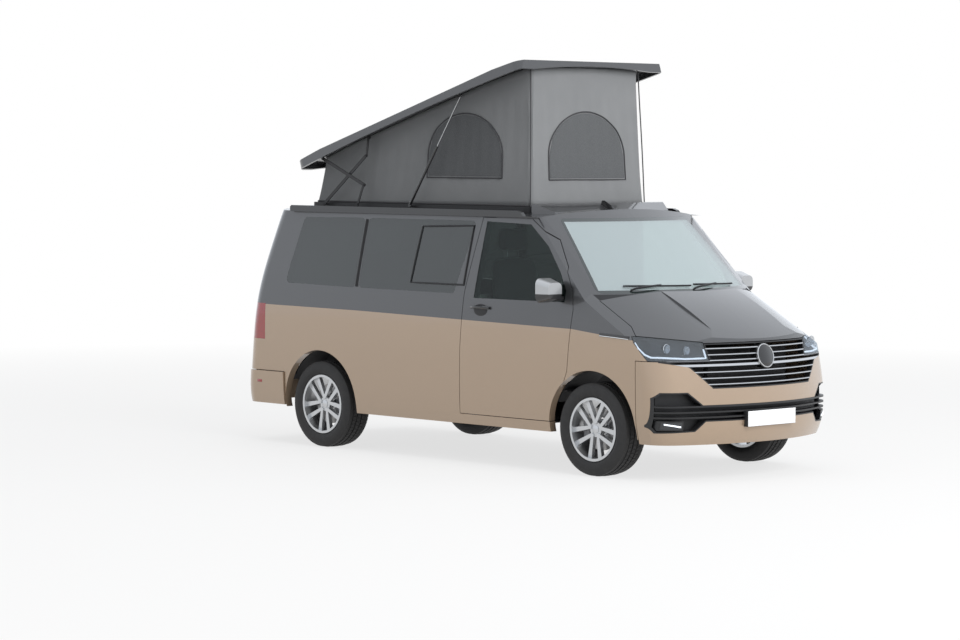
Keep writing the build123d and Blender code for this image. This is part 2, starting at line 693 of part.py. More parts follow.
# Floor with the toe board and the wheel arch liners
TOE_Y = -1275.0
FLOOR_FRONT_Y = -1110.0
FLOOR_REAR_Y = 2310.0
LINER_WEB_Y = -1152.0
with BuildPart() as liners:
    for axle_y, inner_x in ((FRONT_AXLE_Y, 560.0), (REAR_AXLE_Y, 620.0)):
        for side in (-1, 1):
            with BuildSketch(Plane.YZ.offset(side * inner_x)):
                with Locations((axle_y, TYRE_RADIUS)):
                    Circle(ARCH_RADIUS + LINER)
                    Circle(ARCH_RADIUS + LINER / 4, mode=Mode.SUBTRACT)
            extrude(amount=side * (LINER_OUTER_X - inner_x))
    for side in (-1, 1):
        with BuildSketch(Plane.YZ.offset(side * 620.0)):
            with Locations((REAR_AXLE_Y, TYRE_RADIUS)):
                Circle(ARCH_RADIUS + LINER)
        extrude(amount=side * LINER)
        low, high = sorted((side * 560.0, side * LINER_OUTER_X))
        add(block(low, high, LINER_WEB_Y - 80, LINER_WEB_Y, 600, 600 + LINER))
    add(front_cut(((-FAR, 520), (FAR, 520), (FAR, 900), (-FAR, 900)), -2400, 2400), mode=Mode.INTERSECT)
with BuildPart() as floor_pan:
    add(inner)
    add(front_cut(((-FAR, FLOOR_Z - FLOOR_THICK), (FAR, FLOOR_Z - FLOOR_THICK), (FAR, FLOOR_Z), (-FAR, FLOOR_Z)),
                  FLOOR_FRONT_Y, FLOOR_REAR_Y), mode=Mode.INTERSECT)
    add(cross_cylinder(REAR_AXLE_Y, TYRE_RADIUS, ARCH_RADIUS + 2, -FAR, -620), mode=Mode.SUBTRACT)
    add(cross_cylinder(REAR_AXLE_Y, TYRE_RADIUS, ARCH_RADIUS + 2, 620, FAR), mode=Mode.SUBTRACT)
cabin_form = body_volume(WALL + 2, ROOF_SKIN + 2)
with BuildPart() as toe_board:
    add(cabin_form)
    add(side_cut(((FLOOR_FRONT_Y, FLOOR_Z - FLOOR_THICK), (FLOOR_FRONT_Y, FLOOR_Z), (TOE_Y + 25, 800), (TOE_Y + 25, 1240),
                  (TOE_Y, 1240), (TOE_Y, 800), (FLOOR_FRONT_Y - 25, FLOOR_Z - FLOOR_THICK)), -FAR, FAR), mode=Mode.INTERSECT)
    add(cross_cylinder(FRONT_AXLE_Y, TYRE_RADIUS, ARCH_RADIUS + 2, -FAR, -560), mode=Mode.SUBTRACT)
    add(cross_cylinder(FRONT_AXLE_Y, TYRE_RADIUS, ARCH_RADIUS + 2, 560, FAR), mode=Mode.SUBTRACT)
with BuildPart() as floor:
    add(floor_pan.part)
    add(toe_board.part)
    add(liners.part)
keep("floor_pan", floor.part)


# Flange round the roof hatch that carries the canopy and the roof's stays
FLANGE_TOP_Z = 1946.0
FLANGE_OUTER_X = 668.0
FLANGE_FRONT_Y = -625.0
FLANGE_REAR_Y = 1880.0
with BuildPart() as roof_flange:
    with BuildSketch(Plane.XY.offset(1850)):
        with Locations((0, (FLANGE_FRONT_Y + FLANGE_REAR_Y) / 2)):
            RectangleRounded(2 * FLANGE_OUTER_X, FLANGE_REAR_Y - FLANGE_FRONT_Y, 60)
        with Locations((0, (HATCH_FRONT_Y + HATCH_REAR_Y) / 2)):
            RectangleRounded(2 * HATCH_HALF, HATCH_REAR_Y - HATCH_FRONT_Y, 90, mode=Mode.SUBTRACT)
    extrude(amount=FLANGE_TOP_Z - 1850)
    add(outer, mode=Mode.SUBTRACT)

# Elevating roof panel, drawn lying closed and then raised about its pole
pole = Axis((0, POLE_Y, POLE_Z), (1, 0, 0))
PANEL_MIDDLE_Y = (PANEL_FRONT_Y + PANEL_REAR_Y) / 2


def panel_solid(side_inset, top_drop, rim_drop):
    """The panel's closed form: bowed along the van and crowned across it."""
    with BuildPart() as solid:
        with BuildSketch(Plane.YZ.offset(-PANEL_HALF + side_inset)) as profile:
            with BuildLine():
                top = ThreePointArc(
                    (PANEL_FRONT_Y - 16 + side_inset, PANEL_EDGE_Z - top_drop),
                    (PANEL_MIDDLE_Y, PANEL_EDGE_Z + PANEL_BOW + PANEL_CROWN - top_drop),
                    (PANEL_REAR_Y - side_inset, PANEL_EDGE_Z - top_drop),
                )
                rim = ThreePointArc(
                    (PANEL_REAR_Y + 6 - side_inset, PANEL_RIM_Z - rim_drop),
                    (PANEL_MIDDLE_Y, PANEL_RIM_Z + PANEL_BOW - rim_drop),
                    (PANEL_FRONT_Y + side_inset, PANEL_RIM_Z - rim_drop),
                )
                Line(top @ 1, rim @ 0)
                Line(rim @ 1, top @ 0)
            make_face()
        extrude(amount=2 * (PANEL_HALF - side_inset))
        with BuildSketch(Plane.XZ):
            with BuildLine():
                crown = ThreePointArc(
                    (-PANEL_HALF, PANEL_EDGE_Z + PANEL_BOW - top_drop - 10),
                    (0, PANEL_EDGE_Z + PANEL_BOW + PANEL_CROWN - top_drop),
                    (PANEL_HALF, PANEL_EDGE_Z + PANEL_BOW - top_drop - 10),
                )
                Polyline(crown @ 1, (PANEL_HALF, 1780), (-PANEL_HALF, 1780), crown @ 0)
            make_face()
        extrude(amount=LENGTH, both=True, mode=Mode.INTERSECT)
    return solid.part


def roof_crown(clearance):
    """All that lies under the fixed roof's crown and a clearance over it."""
    with BuildPart() as crown_form:
        with BuildSketch(Plane.XZ):
            with BuildLine():
                crown = ThreePointArc(
                    (-1000, ROOF_SIDE_Z + clearance), (0, ROOF_CROWN_Z + clearance), (1000, ROOF_SIDE_Z + clearance)
                )
                Polyline(crown @ 1, (1000, 1500), (-1000, 1500), crown @ 0)
            make_face()
        extrude(amount=LENGTH, both=True)
    return crown_form.part


with BuildPart() as panel_outline:
    with BuildSketch(Plane.XY.offset(1850)):
        with Locations((0, PANEL_MIDDLE_Y - 8)):
            RectangleRounded(2 * PANEL_HALF, PANEL_REAR_Y - PANEL_FRONT_Y + 40, 95)
    extrude(amount=300)
with BuildPart() as roof_panel_closed:
    add(panel_solid(0.0, 0.0, 0.0))
    add(panel_outline.part, mode=Mode.INTERSECT)
    add(panel_solid(PANEL_RIM, PANEL_SKIN, 60.0), mode=Mode.SUBTRACT)
    add(roof_crown(ROOF_CLEARANCE), mode=Mode.SUBTRACT)


def raised(part):
    """A part of the roof turned from closed to raised."""
    return part.rotate(pole, -ROOF_ANGLE)


def turn(y, z, degrees):
    """A side-view point turned about the roof's pole."""
    angle = math.radians(degrees)
    dy = y - POLE_Y
    dz = z - POLE_Z
    return (
        POLE_Y + dy * math.cos(angle) - dz * math.sin(angle),
        POLE_Z + dy * math.sin(angle) + dz * math.cos(angle),
    )


# Rear stays: two crossing bars each side, each with a short link at its front,
# and a gas strut each side further forward
PIN_Z = 1932.0
STAY_X = 704.0
STAY_THICK = 7.0
STAY_WIDTH = 26.0
LINK_THICK = 5.0
PIN_RADIUS = 6.0
BASE_PIN = (1675.0, PIN_Z)
BASE_LINK_PIN = (1244.0, PIN_Z)
ROOF_PIN_CLOSED = (1751.0, PIN_Z + 6)
ROOF_LINK_PIN_CLOSED = (1192.3, PIN_Z + 6)
LOWER_END = (1176.0, 2319.0)
UPPER_END = (1175.0, 2090.0)
STRUT_BASE = (660.0, PIN_Z)
STRUT_ROOF_CLOSED = (75.0, PIN_Z)
ROOF_PIN = turn(*ROOF_PIN_CLOSED, -ROOF_ANGLE)
ROOF_LINK_PIN = turn(*ROOF_LINK_PIN_CLOSED, -ROOF_ANGLE)
STRUT_ROOF = turn(*STRUT_ROOF_CLOSED, -ROOF_ANGLE)
LOWER_X = (STAY_X, STAY_X + STAY_THICK)
UPPER_X = (LOWER_X[1] + 6, LOWER_X[1] + 6 + STAY_THICK)
LINK_X = (STAY_X - LINK_THICK - 4, STAY_X - 4)
LOWER_LINK_X = (UPPER_X[1] + 4, UPPER_X[1] + 4 + LINK_THICK)
BRACKET = 8.0


def flat_bar(start, end, x_from, x_to, width):
    """A flat bar with round ends and a hole at each pin, seen from the side."""
    length = math.dist(start, end)
    angle = math.degrees(math.atan2(end[1] - start[1], end[0] - start[0]))
    with BuildPart() as bar:
        with BuildSketch(Plane.YZ.offset(x_from)):
            with Locations(Location(((start[0] + end[0]) / 2, (start[1] + end[1]) / 2, 0), (0, 0, angle))):
                SlotCenterToCenter(length, width)
            with Locations(start, end):
                Circle(PIN_RADIUS + SEAT_GAP, mode=Mode.SUBTRACT)
        extrude(amount=x_to - x_from)
    return bar.part


def cross_pin(point, x_from, x_to):
    """A round pin across the van."""
    return cross_cylinder(point[0], point[1], PIN_RADIUS, x_from, x_to)


def lug(point, top_z, x_from, width=30.0):
    """An upright lug between a pin's height and top_z."""
    low = min(point[1] - 12, top_z)
    high = max(point[1] + 12, top_z)
    return block(x_from, x_from + BRACKET, point[0] - width / 2, point[0] + width / 2, low, high)


def pair(part):
    """A piece on the left side and its mirror image as one node."""
    with BuildPart() as both:
        add(part)
        add(mirror(part, about=Plane.YZ))
    return both.part


keep("stay_lower", pair(flat_bar(BASE_PIN, LOWER_END, LOWER_X[0], LOWER_X[1], STAY_WIDTH)))
keep("stay_upper", pair(flat_bar(ROOF_PIN, UPPER_END, UPPER_X[0], UPPER_X[1], STAY_WIDTH)))
keep("link_upper", pair(flat_bar(ROOF_LINK_PIN, LOWER_END, LINK_X[0], LINK_X[1], STAY_WIDTH - 6)))
keep("link_lower", pair(flat_bar(BASE_LINK_PIN, UPPER_END, LOWER_LINK_X[0], LOWER_LINK_X[1], STAY_WIDTH - 6)))

with BuildPart() as flange_pins:
    add(cross_pin(BASE_PIN, FLANGE_OUTER_X - 10, LOWER_X[1] + 2))
    add(cross_pin(STRUT_BASE, FLANGE_OUTER_X - 10, STAY_X + BRACKET))
with BuildPart() as link_foot:
    add(lug(BASE_LINK_PIN, 1870, LOWER_LINK_X[1] + 4))
    add(cross_pin(BASE_LINK_PIN, LOWER_LINK_X[0] - 1, LOWER_LINK_X[1] + 6))
    add(outer, mode=Mode.SUBTRACT)
with BuildPart() as roof_frame:
    add(roof_flange.part)
    add(pair(flange_pins.part))
    add(pair(link_foot.part))
keep("roof_frame", roof_frame.part)

with BuildPart() as roof_lugs:
    add(lug(ROOF_PIN_CLOSED, 1975, LOWER_LINK_X[1] + 4))
    add(cross_pin(ROOF_PIN_CLOSED, UPPER_X[0] - 1, LOWER_LINK_X[1] + 6))
    add(lug(ROOF_LINK_PIN_CLOSED, 1985, LINK_X[0] - 4 - BRACKET))
    add(cross_pin(ROOF_LINK_PIN_CLOSED, LINK_X[0] - 6, LINK_X[1] + 1))
    add(lug(STRUT_ROOF_CLOSED, 1990, STAY_X + BRACKET + 6))
    add(cross_pin(STRUT_ROOF_CLOSED, STAY_X - 2, STAY_X + BRACKET + 8))
with BuildPart() as roof_panel:
    add(raised(roof_panel_closed.part))
    add(raised(pair(roof_lugs.part)))
keep("roof_panel", roof_panel.part)

# Gas strut: a tube on the flange and a rod that slides in it, pinned to the roof
STRUT_TUBE = 560.0
STRUT_TUBE_RADIUS = 11.0
STRUT_ROD_RADIUS = 5.0
STRUT_OVERLAP = 25.0
STRUT_EYE = 12.0
STRUT_MID_X = STAY_X + BRACKET / 2
strut_length = math.dist(STRUT_BASE, STRUT_ROOF)
strut_plane = Plane(
    origin=(STRUT_MID_X, STRUT_BASE[0], STRUT_BASE[1]), x_dir=(1, 0, 0),
    z_dir=(0, STRUT_ROOF[0] - STRUT_BASE[0], STRUT_ROOF[1] - STRUT_BASE[1]),
)
with BuildPart() as strut_tube:
    with BuildSketch(strut_plane.offset(16)):
        Circle(STRUT_TUBE_RADIUS)
    extrude(amount=STRUT_TUBE - 16)
    with BuildSketch(strut_plane.offset(30)):
        Circle(STRUT_ROD_RADIUS + SEAT_GAP)
    extrude(amount=STRUT_TUBE - 30, mode=Mode.SUBTRACT)
    add(flat_bar(STRUT_BASE, (STRUT_BASE[0] + (STRUT_ROOF[0] - STRUT_BASE[0]) * 0.02,
                              STRUT_BASE[1] + (STRUT_ROOF[1] - STRUT_BASE[1]) * 0.02),
                 STAY_X, STAY_X + BRACKET, 2 * STRUT_EYE))
    add(cross_cylinder(STRUT_BASE[0], STRUT_BASE[1], PIN_RADIUS + SEAT_GAP, STAY_X - 5, STAY_X + 20), mode=Mode.SUBTRACT)
keep("strut_tube", pair(strut_tube.part))
with BuildPart() as strut_rod:
    with BuildSketch(strut_plane.offset(STRUT_TUBE - STRUT_OVERLAP)):
        Circle(STRUT_ROD_RADIUS)
    extrude(amount=strut_length - STRUT_TUBE + STRUT_OVERLAP)
    with BuildSketch(Plane.YZ.offset(STAY_X)):
        with Locations(STRUT_ROOF):
            Circle(STRUT_EYE)
    extrude(amount=BRACKET)
    add(cross_cylinder(STRUT_ROOF[0], STRUT_ROOF[1], PIN_RADIUS + SEAT_GAP, STAY_X - 5, STAY_X + 20), mode=Mode.SUBTRACT)
keep("strut_rod", pair(strut_rod.part))

# Fabric canopy: four leaning walls between the flange and the raised panel
CANOPY_WALL = 8.0
CANOPY_FOOT_Z = FLANGE_TOP_Z + SEAT_GAP
CANOPY_RISE = 72.0
CANOPY_FRONT_Y = -602.0
CANOPY_BACK_Y = 1862.0
CANOPY_HALF = 632.0
CANOPY_TOP_HALF = 592.0
CANOPY_TOP_CLOSED_Z = 1932.0
CANOPY_TOP_FRONT = -600.0
CANOPY_TOP_BACK = 1845.0


def canopy_form(inset, reach):
    """The canopy's form, moved inwards by inset and longer at its foot by reach."""
    front = turn(CANOPY_TOP_FRONT, CANOPY_TOP_CLOSED_Z, -ROOF_ANGLE)
    back = turn(CANOPY_TOP_BACK, CANOPY_TOP_CLOSED_Z, -ROOF_ANGLE)
    angle = math.radians(ROOF_ANGLE)
    top_plane = Plane(origin=(0, (front[0] + back[0]) / 2, (front[1] + back[1]) / 2), x_dir=(1, 0, 0),
                      z_dir=(0, math.sin(angle), math.cos(angle)))
    half = math.dist(front, back) / 2 - inset
    with BuildPart() as form:
        with BuildSketch(Plane.XY.offset(CANOPY_FOOT_Z - reach)):
            with Locations((0, (CANOPY_FRONT_Y + CANOPY_BACK_Y) / 2)):
                Rectangle(2 * (CANOPY_HALF - inset), CANOPY_BACK_Y - CANOPY_FRONT_Y - 2 * inset)
        with BuildSketch(top_plane.offset(CANOPY_RISE + reach)):
            with BuildLine():
                wide = CANOPY_TOP_HALF + 24 - inset
                narrow = CANOPY_TOP_HALF - inset
                Polyline((-wide, half), (wide, half), (narrow, -half), (-narrow, -half), close=True)
            make_face()
        loft(ruled=True)
    return form.part


with BuildPart() as above_ceiling:
    add(block(-700, 700, -645, 1930, 1900, 2300))
    add(panel_solid(PANEL_RIM, PANEL_SKIN + SEAT_GAP, 60.0), mode=Mode.SUBTRACT)
with BuildPart() as canopy:
    add(canopy_form(0.0, 0.0))
    add(canopy_form(CANOPY_WALL, 5.0), mode=Mode.SUBTRACT)
    add(raised(above_ceiling.part), mode=Mode.SUBTRACT)
keep("canopy", canopy.part)

# Side rails along the roof's edges
with BuildPart() as rail:
    with BuildSketch(Plane.YZ.offset(836)):
        with BuildLine():
            Polyline((-985, 1872), (-760, 1884), (-740, 1908), (-700, 1922), (1890, 1922), (1905, 1910), (1905, 1872),
                     close=True)
        make_face()
    extrude(amount=34)
    add(outer, mode=Mode.SUBTRACT)
rail_piece = rail.part.solids().sort_by(Axis.X)[-1]
with BuildPart() as roof_rails:
    add(rail_piece)
    add(mirror(rail_piece, about=Plane.YZ))
keep("roof_rails", roof_rails.part)


# Cabin: dashboard with the steering column, steering wheel, seats and cupboard
DRIVER_X = -390.0
WHEEL_CENTRE = (DRIVER_X, -900.0, 1150.0)
COLUMN_TILT = 35.0
column_plane = Plane(
    origin=WHEEL_CENTRE, x_dir=(1, 0, 0),
    z_dir=(0, math.cos(math.radians(COLUMN_TILT)), math.sin(math.radians(COLUMN_TILT))),
)
STEER_RING = 185.0
STEER_GRIP = 15.0
with BuildPart() as dashboard:
    add(side_cut(((-1640, 1246), (-1640, 1262), (-1330, 1288), (-1080, 1262), (-985, 1180), (-1000, 1050),
                  (-1120, 900), (TOE_Y + 25 + SEAT_GAP, 880), (TOE_Y + 25 + SEAT_GAP, 1246)), -880, 880))
    add(cabin_form, mode=Mode.INTERSECT)
    with BuildSketch(column_plane.offset(-260)):
        Circle(34)
    extrude(amount=260 - 28 - SEAT_GAP)
keep("dashboard", dashboard.part)
with BuildPart() as steering_wheel:
    with BuildSketch(column_plane.offset(-28)):
        Circle(62)
    extrude(amount=30)
    with BuildSketch(column_plane.offset(-14)):
        for angle in (0, 180, 270):
            with Locations(Location((0, 0, 0), (0, 0, angle))):
                with Locations(((STEER_RING + 30) / 2, 0)):
                    Rectangle(STEER_RING - 30, 34)
    extrude(amount=12)
    with BuildSketch(Plane(origin=WHEEL_CENTRE, x_dir=(1, 0, 0), z_dir=column_plane.y_dir)):
        with Locations((STEER_RING, 0)):
            Circle(STEER_GRIP)
    revolve(axis=Axis(WHEEL_CENTRE, column_plane.z_dir))
keep("steering_wheel", steering_wheel.part)

SEAT_PROFILE = (
    (-770, 840), (-760, 975), (-330, 950), (-230, 1560), (-236, 1590), (-215, 1590), (-210, 1760), (-120, 1760),
    (-118, 1590), (-100, 1560), (-215, 900), (-250, 840),
)
with BuildPart() as seats:
    for x in (-390.0, 390.0):
        add(side_cut(SEAT_PROFILE, x - 245, x + 245, 0))
        add(block(x - 200, x + 200, -700, -280, FLOOR_Z, 841))
    add(side_cut(((1000, FLOOR_Z), (1000, 930), (1010, 960), (1440, 930), (1520, 1560), (1640, 1560), (1560, 860),
                  (1500, FLOOR_Z)), -470, 600))
keep("seats", seats.part)
with BuildPart() as cupboard:
    add(block(-880, -520, -80, 985, FLOOR_Z, 1262))
    add(inner, mode=Mode.INTERSECT)
keep("cupboard", cupboard.part)

# Under the van: engine on its two mounting arms, chassis rails, tank and silencer
RAIL_LOW = 405.0
RAIL_INNER = 430.0
with BuildPart() as engine:
    with BuildSketch(Plane.XY.offset(330)):
        with Locations((0, -1700)):
            RectangleRounded(680, 430, 50)
    extrude(amount=520)
    add(block(SEAT_GAP - RAIL_INNER, RAIL_INNER - SEAT_GAP, -1750, -1650, RAIL_LOW + 35, RAIL_LOW + 95))
keep("engine", engine.part)
RAIL_OUTER = 490.0
RAIL_TOP = FLOOR_Z - FLOOR_THICK - SEAT_GAP
RADIATOR_Y = -2205.0
RADIATOR_DEPTH = 40.0
RADIATOR_TOP = 950.0
# Threaded holes under the rails' rear ends, where a tow bar bolts on
TOWBAR_Y = 2020.0
TOWBAR_SPACING = 120.0
TOWBAR_HOLE_RADIUS = 6.0
TOWBAR_HOLE_DEPTH = 45.0
with BuildPart() as underbody:
    for side in (-1, 1):
        low, high = sorted((side * RAIL_INNER, side * RAIL_OUTER))
        add(block(low, high, -2230, 2240, RAIL_LOW, RAIL_TOP))
    for y in (-2230.0, -420.0, 820.0, 2180.0):
        add(block(-RAIL_OUTER, RAIL_OUTER, y, y + 60, RAIL_LOW, RAIL_TOP))
    add(block(-RAIL_INNER, RAIL_INNER, RADIATOR_Y - RADIATOR_DEPTH / 2, RADIATOR_Y + RADIATOR_DEPTH / 2,
              RAIL_TOP, RADIATOR_TOP))
    with BuildSketch(Plane.XY.offset(RAIL_LOW)):
        with Locations((0, TOWBAR_Y)):
            with GridLocations(RAIL_INNER + RAIL_OUTER, TOWBAR_SPACING, 2, 2):
                Circle(TOWBAR_HOLE_RADIUS)
    extrude(amount=TOWBAR_HOLE_DEPTH, mode=Mode.SUBTRACT)
    with BuildSketch(Plane.XY.offset(320)):
        with Locations((0, 200)):
            RectangleRounded(2 * RAIL_INNER + 4, 760, 60)
    extrude(amount=150)
    with BuildSketch(Plane.YZ.offset(-300)):
        with Locations((2035, 400)):
            Ellipse(150, 80)
    extrude(amount=600)
keep("underbody", underbody.part)

# Front subframe with the lower arms and strut tubes
ARM_Z = 222.0
ARM_THICK = 26.0
CARRIER_FACE = -46.0
TUBE_RADIUS = 27.0
with BuildPart() as front_subframe:
    add(block(-430, 430, FRONT_AXLE_Y - 70, FRONT_AXLE_Y + 70, ARM_Z - 10, ARM_Z + 60))
    for side in (-1, 1):
        low, high = sorted((side * RAIL_INNER, side * RAIL_OUTER))
        add(block(low, high, FRONT_AXLE_Y - 70, FRONT_AXLE_Y + 70, ARM_Z - 10, RAIL_LOW - SEAT_GAP))
        with BuildSketch(Plane.XY.offset(ARM_Z)):
            with BuildLine():
                Polyline((side * 480, FRONT_AXLE_Y - 60), (side * 725, FRONT_AXLE_Y - 24),
                         (side * (KINGPIN_X + 22), FRONT_AXLE_Y - 20), (side * (KINGPIN_X + 22), FRONT_AXLE_Y + 20),
                         (side * 725, FRONT_AXLE_Y + 24), (side * 480, FRONT_AXLE_Y + 60), close=True)
            make_face()
        extrude(amount=ARM_THICK)
        with BuildSketch(Plane.XY.offset(480)):
            with Locations((side * 610, FRONT_AXLE_Y)):
                Circle(TUBE_RADIUS)
        extrude(amount=TYRE_RADIUS + math.sqrt((ARCH_RADIUS + LINER / 4) ** 2 - TUBE_RADIUS**2) - SEAT_GAP - 480)
keep("front_subframe", front_subframe.part)


def hub_carrier(axle_y, inboard):
    """A round hub carrier with the wheel's stub shaft, for the left side."""
    with BuildPart() as carrier:
        with BuildSketch(Plane.YZ.offset(inboard)):
            with Locations((axle_y, TYRE_RADIUS)):
                Circle(62)
        extrude(amount=WHEEL_X + CARRIER_FACE - inboard)
        with BuildSketch(Plane.YZ.offset(WHEEL_X + CARRIER_FACE)):
            with Locations((axle_y, TYRE_RADIUS)):
                Circle(20)
        extrude(amount=60)
    return carrier.part


with BuildPart() as knuckle_left:
    add(hub_carrier(FRONT_AXLE_Y, WHEEL_X - 112))
    with BuildSketch(Plane.XY.offset(ARM_Z + ARM_THICK + SEAT_GAP)):
        with Locations((KINGPIN_X, FRONT_AXLE_Y)):
            Circle(16)
    extrude(amount=60)
    add(block(WHEEL_X - 110, WHEEL_X + CARRIER_FACE, FRONT_AXLE_Y - 150, FRONT_AXLE_Y, TYRE_RADIUS - 20, TYRE_RADIUS + 20))
keep("knuckle_left", knuckle_left.part)
keep("knuckle_right", mirror(knuckle_left.part, about=Plane.YZ))

with BuildPart() as rear_axle:
    add(pair(hub_carrier(REAR_AXLE_Y, 600)))
    for side in (-1, 1):
        low, high = sorted((side * 585, side * 680))
        with BuildSketch(Plane.YZ.offset(low)):
            with BuildLine():
                Polyline((REAR_AXLE_Y - 430, 400), (REAR_AXLE_Y + 55, 300), (REAR_AXLE_Y + 55, 390),
                         (REAR_AXLE_Y - 430, 470), close=True)
            make_face()
        extrude(amount=high - low)
        low, high = sorted((side * (RAIL_OUTER + SEAT_GAP), side * 590))
        add(block(low, high, REAR_AXLE_Y - 430, REAR_AXLE_Y - 350, 415, 500))
    with BuildSketch(Plane.YZ.offset(-590)):
        with Locations((REAR_AXLE_Y - 200, 360)):
            Circle(40)
    extrude(amount=1180)
keep("rear_axle", rear_axle.part)

# Wheels: one rim and tyre, drawn about the X axis with the outside towards +X
HALF_RIM = RIM_WIDTH / 2
SPOKE_INNER_X = 44.0
SPOKE_DEPTH = 32.0
# Reach from the hub, offset of the spoke from the pair's middle line, half width
SPOKE_ENDS = ((36.0, 27.0, 12.0), (RIM_RADIUS - 6, 52.0, 19.0))
with BuildPart() as rim:
    with BuildSketch(Plane.XZ) as rim_section:
        with BuildLine():
            Polyline(
                (-HALF_RIM, RIM_RADIUS - RIM_WALL), (-HALF_RIM, RIM_RADIUS + RIM_FLANGE),
                (-HALF_RIM + 7, RIM_RADIUS + RIM_FLANGE), (-HALF_RIM + 7, RIM_RADIUS),
                (-20, RIM_RADIUS - 4), (HALF_RIM - 7, RIM_RADIUS),
                (HALF_RIM - 7, RIM_RADIUS + RIM_FLANGE), (HALF_RIM, RIM_RADIUS + RIM_FLANGE),
                (HALF_RIM, RIM_RADIUS - RIM_WALL), (-20, RIM_RADIUS - 4 - RIM_WALL), close=True,
            )
        make_face()
    revolve(axis=Axis.X)
    for pair_index in range(SPOKE_PAIRS):
        along = math.radians(-90 + 360 * pair_index / SPOKE_PAIRS)
        for side in (-1, 1):
            corners = []
            for reach, middle, half in SPOKE_ENDS:
                for edge in (half, -half):
                    across = side * middle + (edge if reach == SPOKE_ENDS[0][0] else -edge)
                    corners.append((
                        reach * math.cos(along) - across * math.sin(along),
                        reach * math.sin(along) + across * math.cos(along),
                    ))
            with BuildSketch(Plane.YZ.offset(SPOKE_INNER_X)):
                with BuildLine():
                    Polyline(*corners, close=True)
                make_face()
                # The spoke ends inside the barrel's wall, along its curve
                Circle(SPOKE_ENDS[1][0], mode=Mode.INTERSECT)
            extrude(amount=SPOKE_DEPTH)
    with BuildSketch(Plane.YZ.offset(-40)):
        Circle(74)
    extrude(amount=22)
    with BuildSketch(Plane.YZ.offset(-40)):
        Circle(56)
    extrude(amount=108)
    with BuildSketch(Plane.YZ.offset(-40)):
        Circle(20 + SEAT_GAP)
    extrude(amount=60, mode=Mode.SUBTRACT)
with BuildPart() as tyre:
    with BuildSketch(Plane.XZ):
        with BuildLine():
            bead = HALF_RIM - 7 - SEAT_GAP
            half = TYRE_WIDTH / 2
            inner_r = RIM_RADIUS + BEAD_GAP
            Polyline((-bead, RIM_RADIUS + RIM_FLANGE + 4), (-bead, inner_r), (bead, inner_r), (bead, RIM_RADIUS + RIM_FLANGE + 4))
            ThreePointArc((bead, RIM_RADIUS + RIM_FLANGE + 4), (half, RIM_RADIUS + 58), (half - 14, TYRE_RADIUS - 16))
            ThreePointArc((half - 14, TYRE_RADIUS - 16), (half - 21, TYRE_RADIUS - 7), (half - 36, TYRE_RADIUS - 3))
            ThreePointArc((half - 36, TYRE_RADIUS - 3), (0, TYRE_RADIUS), (-half + 36, TYRE_RADIUS - 3))
            ThreePointArc((-half + 36, TYRE_RADIUS - 3), (-half + 21, TYRE_RADIUS - 7), (-half + 14, TYRE_RADIUS - 16))
            ThreePointArc((-half + 14, TYRE_RADIUS - 16), (-half, RIM_RADIUS + 58), (-bead, RIM_RADIUS + RIM_FLANGE + 4))
        make_face()
    revolve(axis=Axis.X)
for place, axle_y in (("front", FRONT_AXLE_Y), ("rear", REAR_AXLE_Y)):
    for piece, solid in (("rim", rim.part), ("tyre", tyre.part)):
        left = Pos(WHEEL_X, axle_y, TYRE_RADIUS) * solid
        keep(f"{piece}_{place}_left", left)
        keep(f"{piece}_{place}_right", mirror(left, about=Plane.YZ))

os.makedirs("parts", exist_ok=True)
for name, part in STEP.items():
    export_step(part, f"parts/{name}.step")
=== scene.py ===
import math

import bmesh
import bpy
from bpy.props import FloatProperty, FloatVectorProperty, PointerProperty
from mathutils import Matrix, Vector
from mathutils.bvhtree import BVHTree


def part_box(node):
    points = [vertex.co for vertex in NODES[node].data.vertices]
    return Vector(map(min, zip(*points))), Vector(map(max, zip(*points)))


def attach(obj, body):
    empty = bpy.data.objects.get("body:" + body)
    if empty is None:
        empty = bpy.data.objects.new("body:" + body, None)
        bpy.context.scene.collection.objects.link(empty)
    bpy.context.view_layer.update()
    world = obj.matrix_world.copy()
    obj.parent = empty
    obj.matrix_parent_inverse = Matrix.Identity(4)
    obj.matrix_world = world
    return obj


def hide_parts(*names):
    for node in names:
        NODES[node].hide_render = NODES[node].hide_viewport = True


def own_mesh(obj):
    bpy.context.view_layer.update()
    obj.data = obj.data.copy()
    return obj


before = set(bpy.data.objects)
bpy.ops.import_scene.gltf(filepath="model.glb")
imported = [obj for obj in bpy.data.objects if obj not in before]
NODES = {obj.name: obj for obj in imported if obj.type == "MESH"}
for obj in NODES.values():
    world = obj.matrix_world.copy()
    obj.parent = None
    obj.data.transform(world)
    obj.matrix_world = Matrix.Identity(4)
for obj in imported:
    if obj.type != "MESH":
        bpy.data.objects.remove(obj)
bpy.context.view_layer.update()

bl_info = {
    "name": "Camper van looks",
    "version": (1, 0, 0),
    "blender": (4, 5, 0),
    "location": "View3D > Sidebar > Camper",
    "description": "Finishes, trim, canopy cloth, seats and stage for the camper van",
    "category": "Object",
}

# Shared sizes in metres, in the frame of the part
FRONT_AXLE_Y = -1.544
REAR_AXLE_Y = 1.456
WHEEL_X = 0.814
WHEEL_Z = 0.345
MAIN_BAR_Z = 0.838
BAR_HEIGHTS = (0.702, 0.746, 0.790, 0.872, 0.912, 0.956)
BADGE_Z = 0.889
LEFT, RIGHT = 1, -1
SIDES = (("right", RIGHT), ("left", LEFT))


def overload(operation, swapped=False):
    """A method that turns an expression on tones into a maths node."""
    def method(self, other):
        pair = (other, self) if swapped else (self, other)
        return self.finish.math(operation, *pair)
    return method


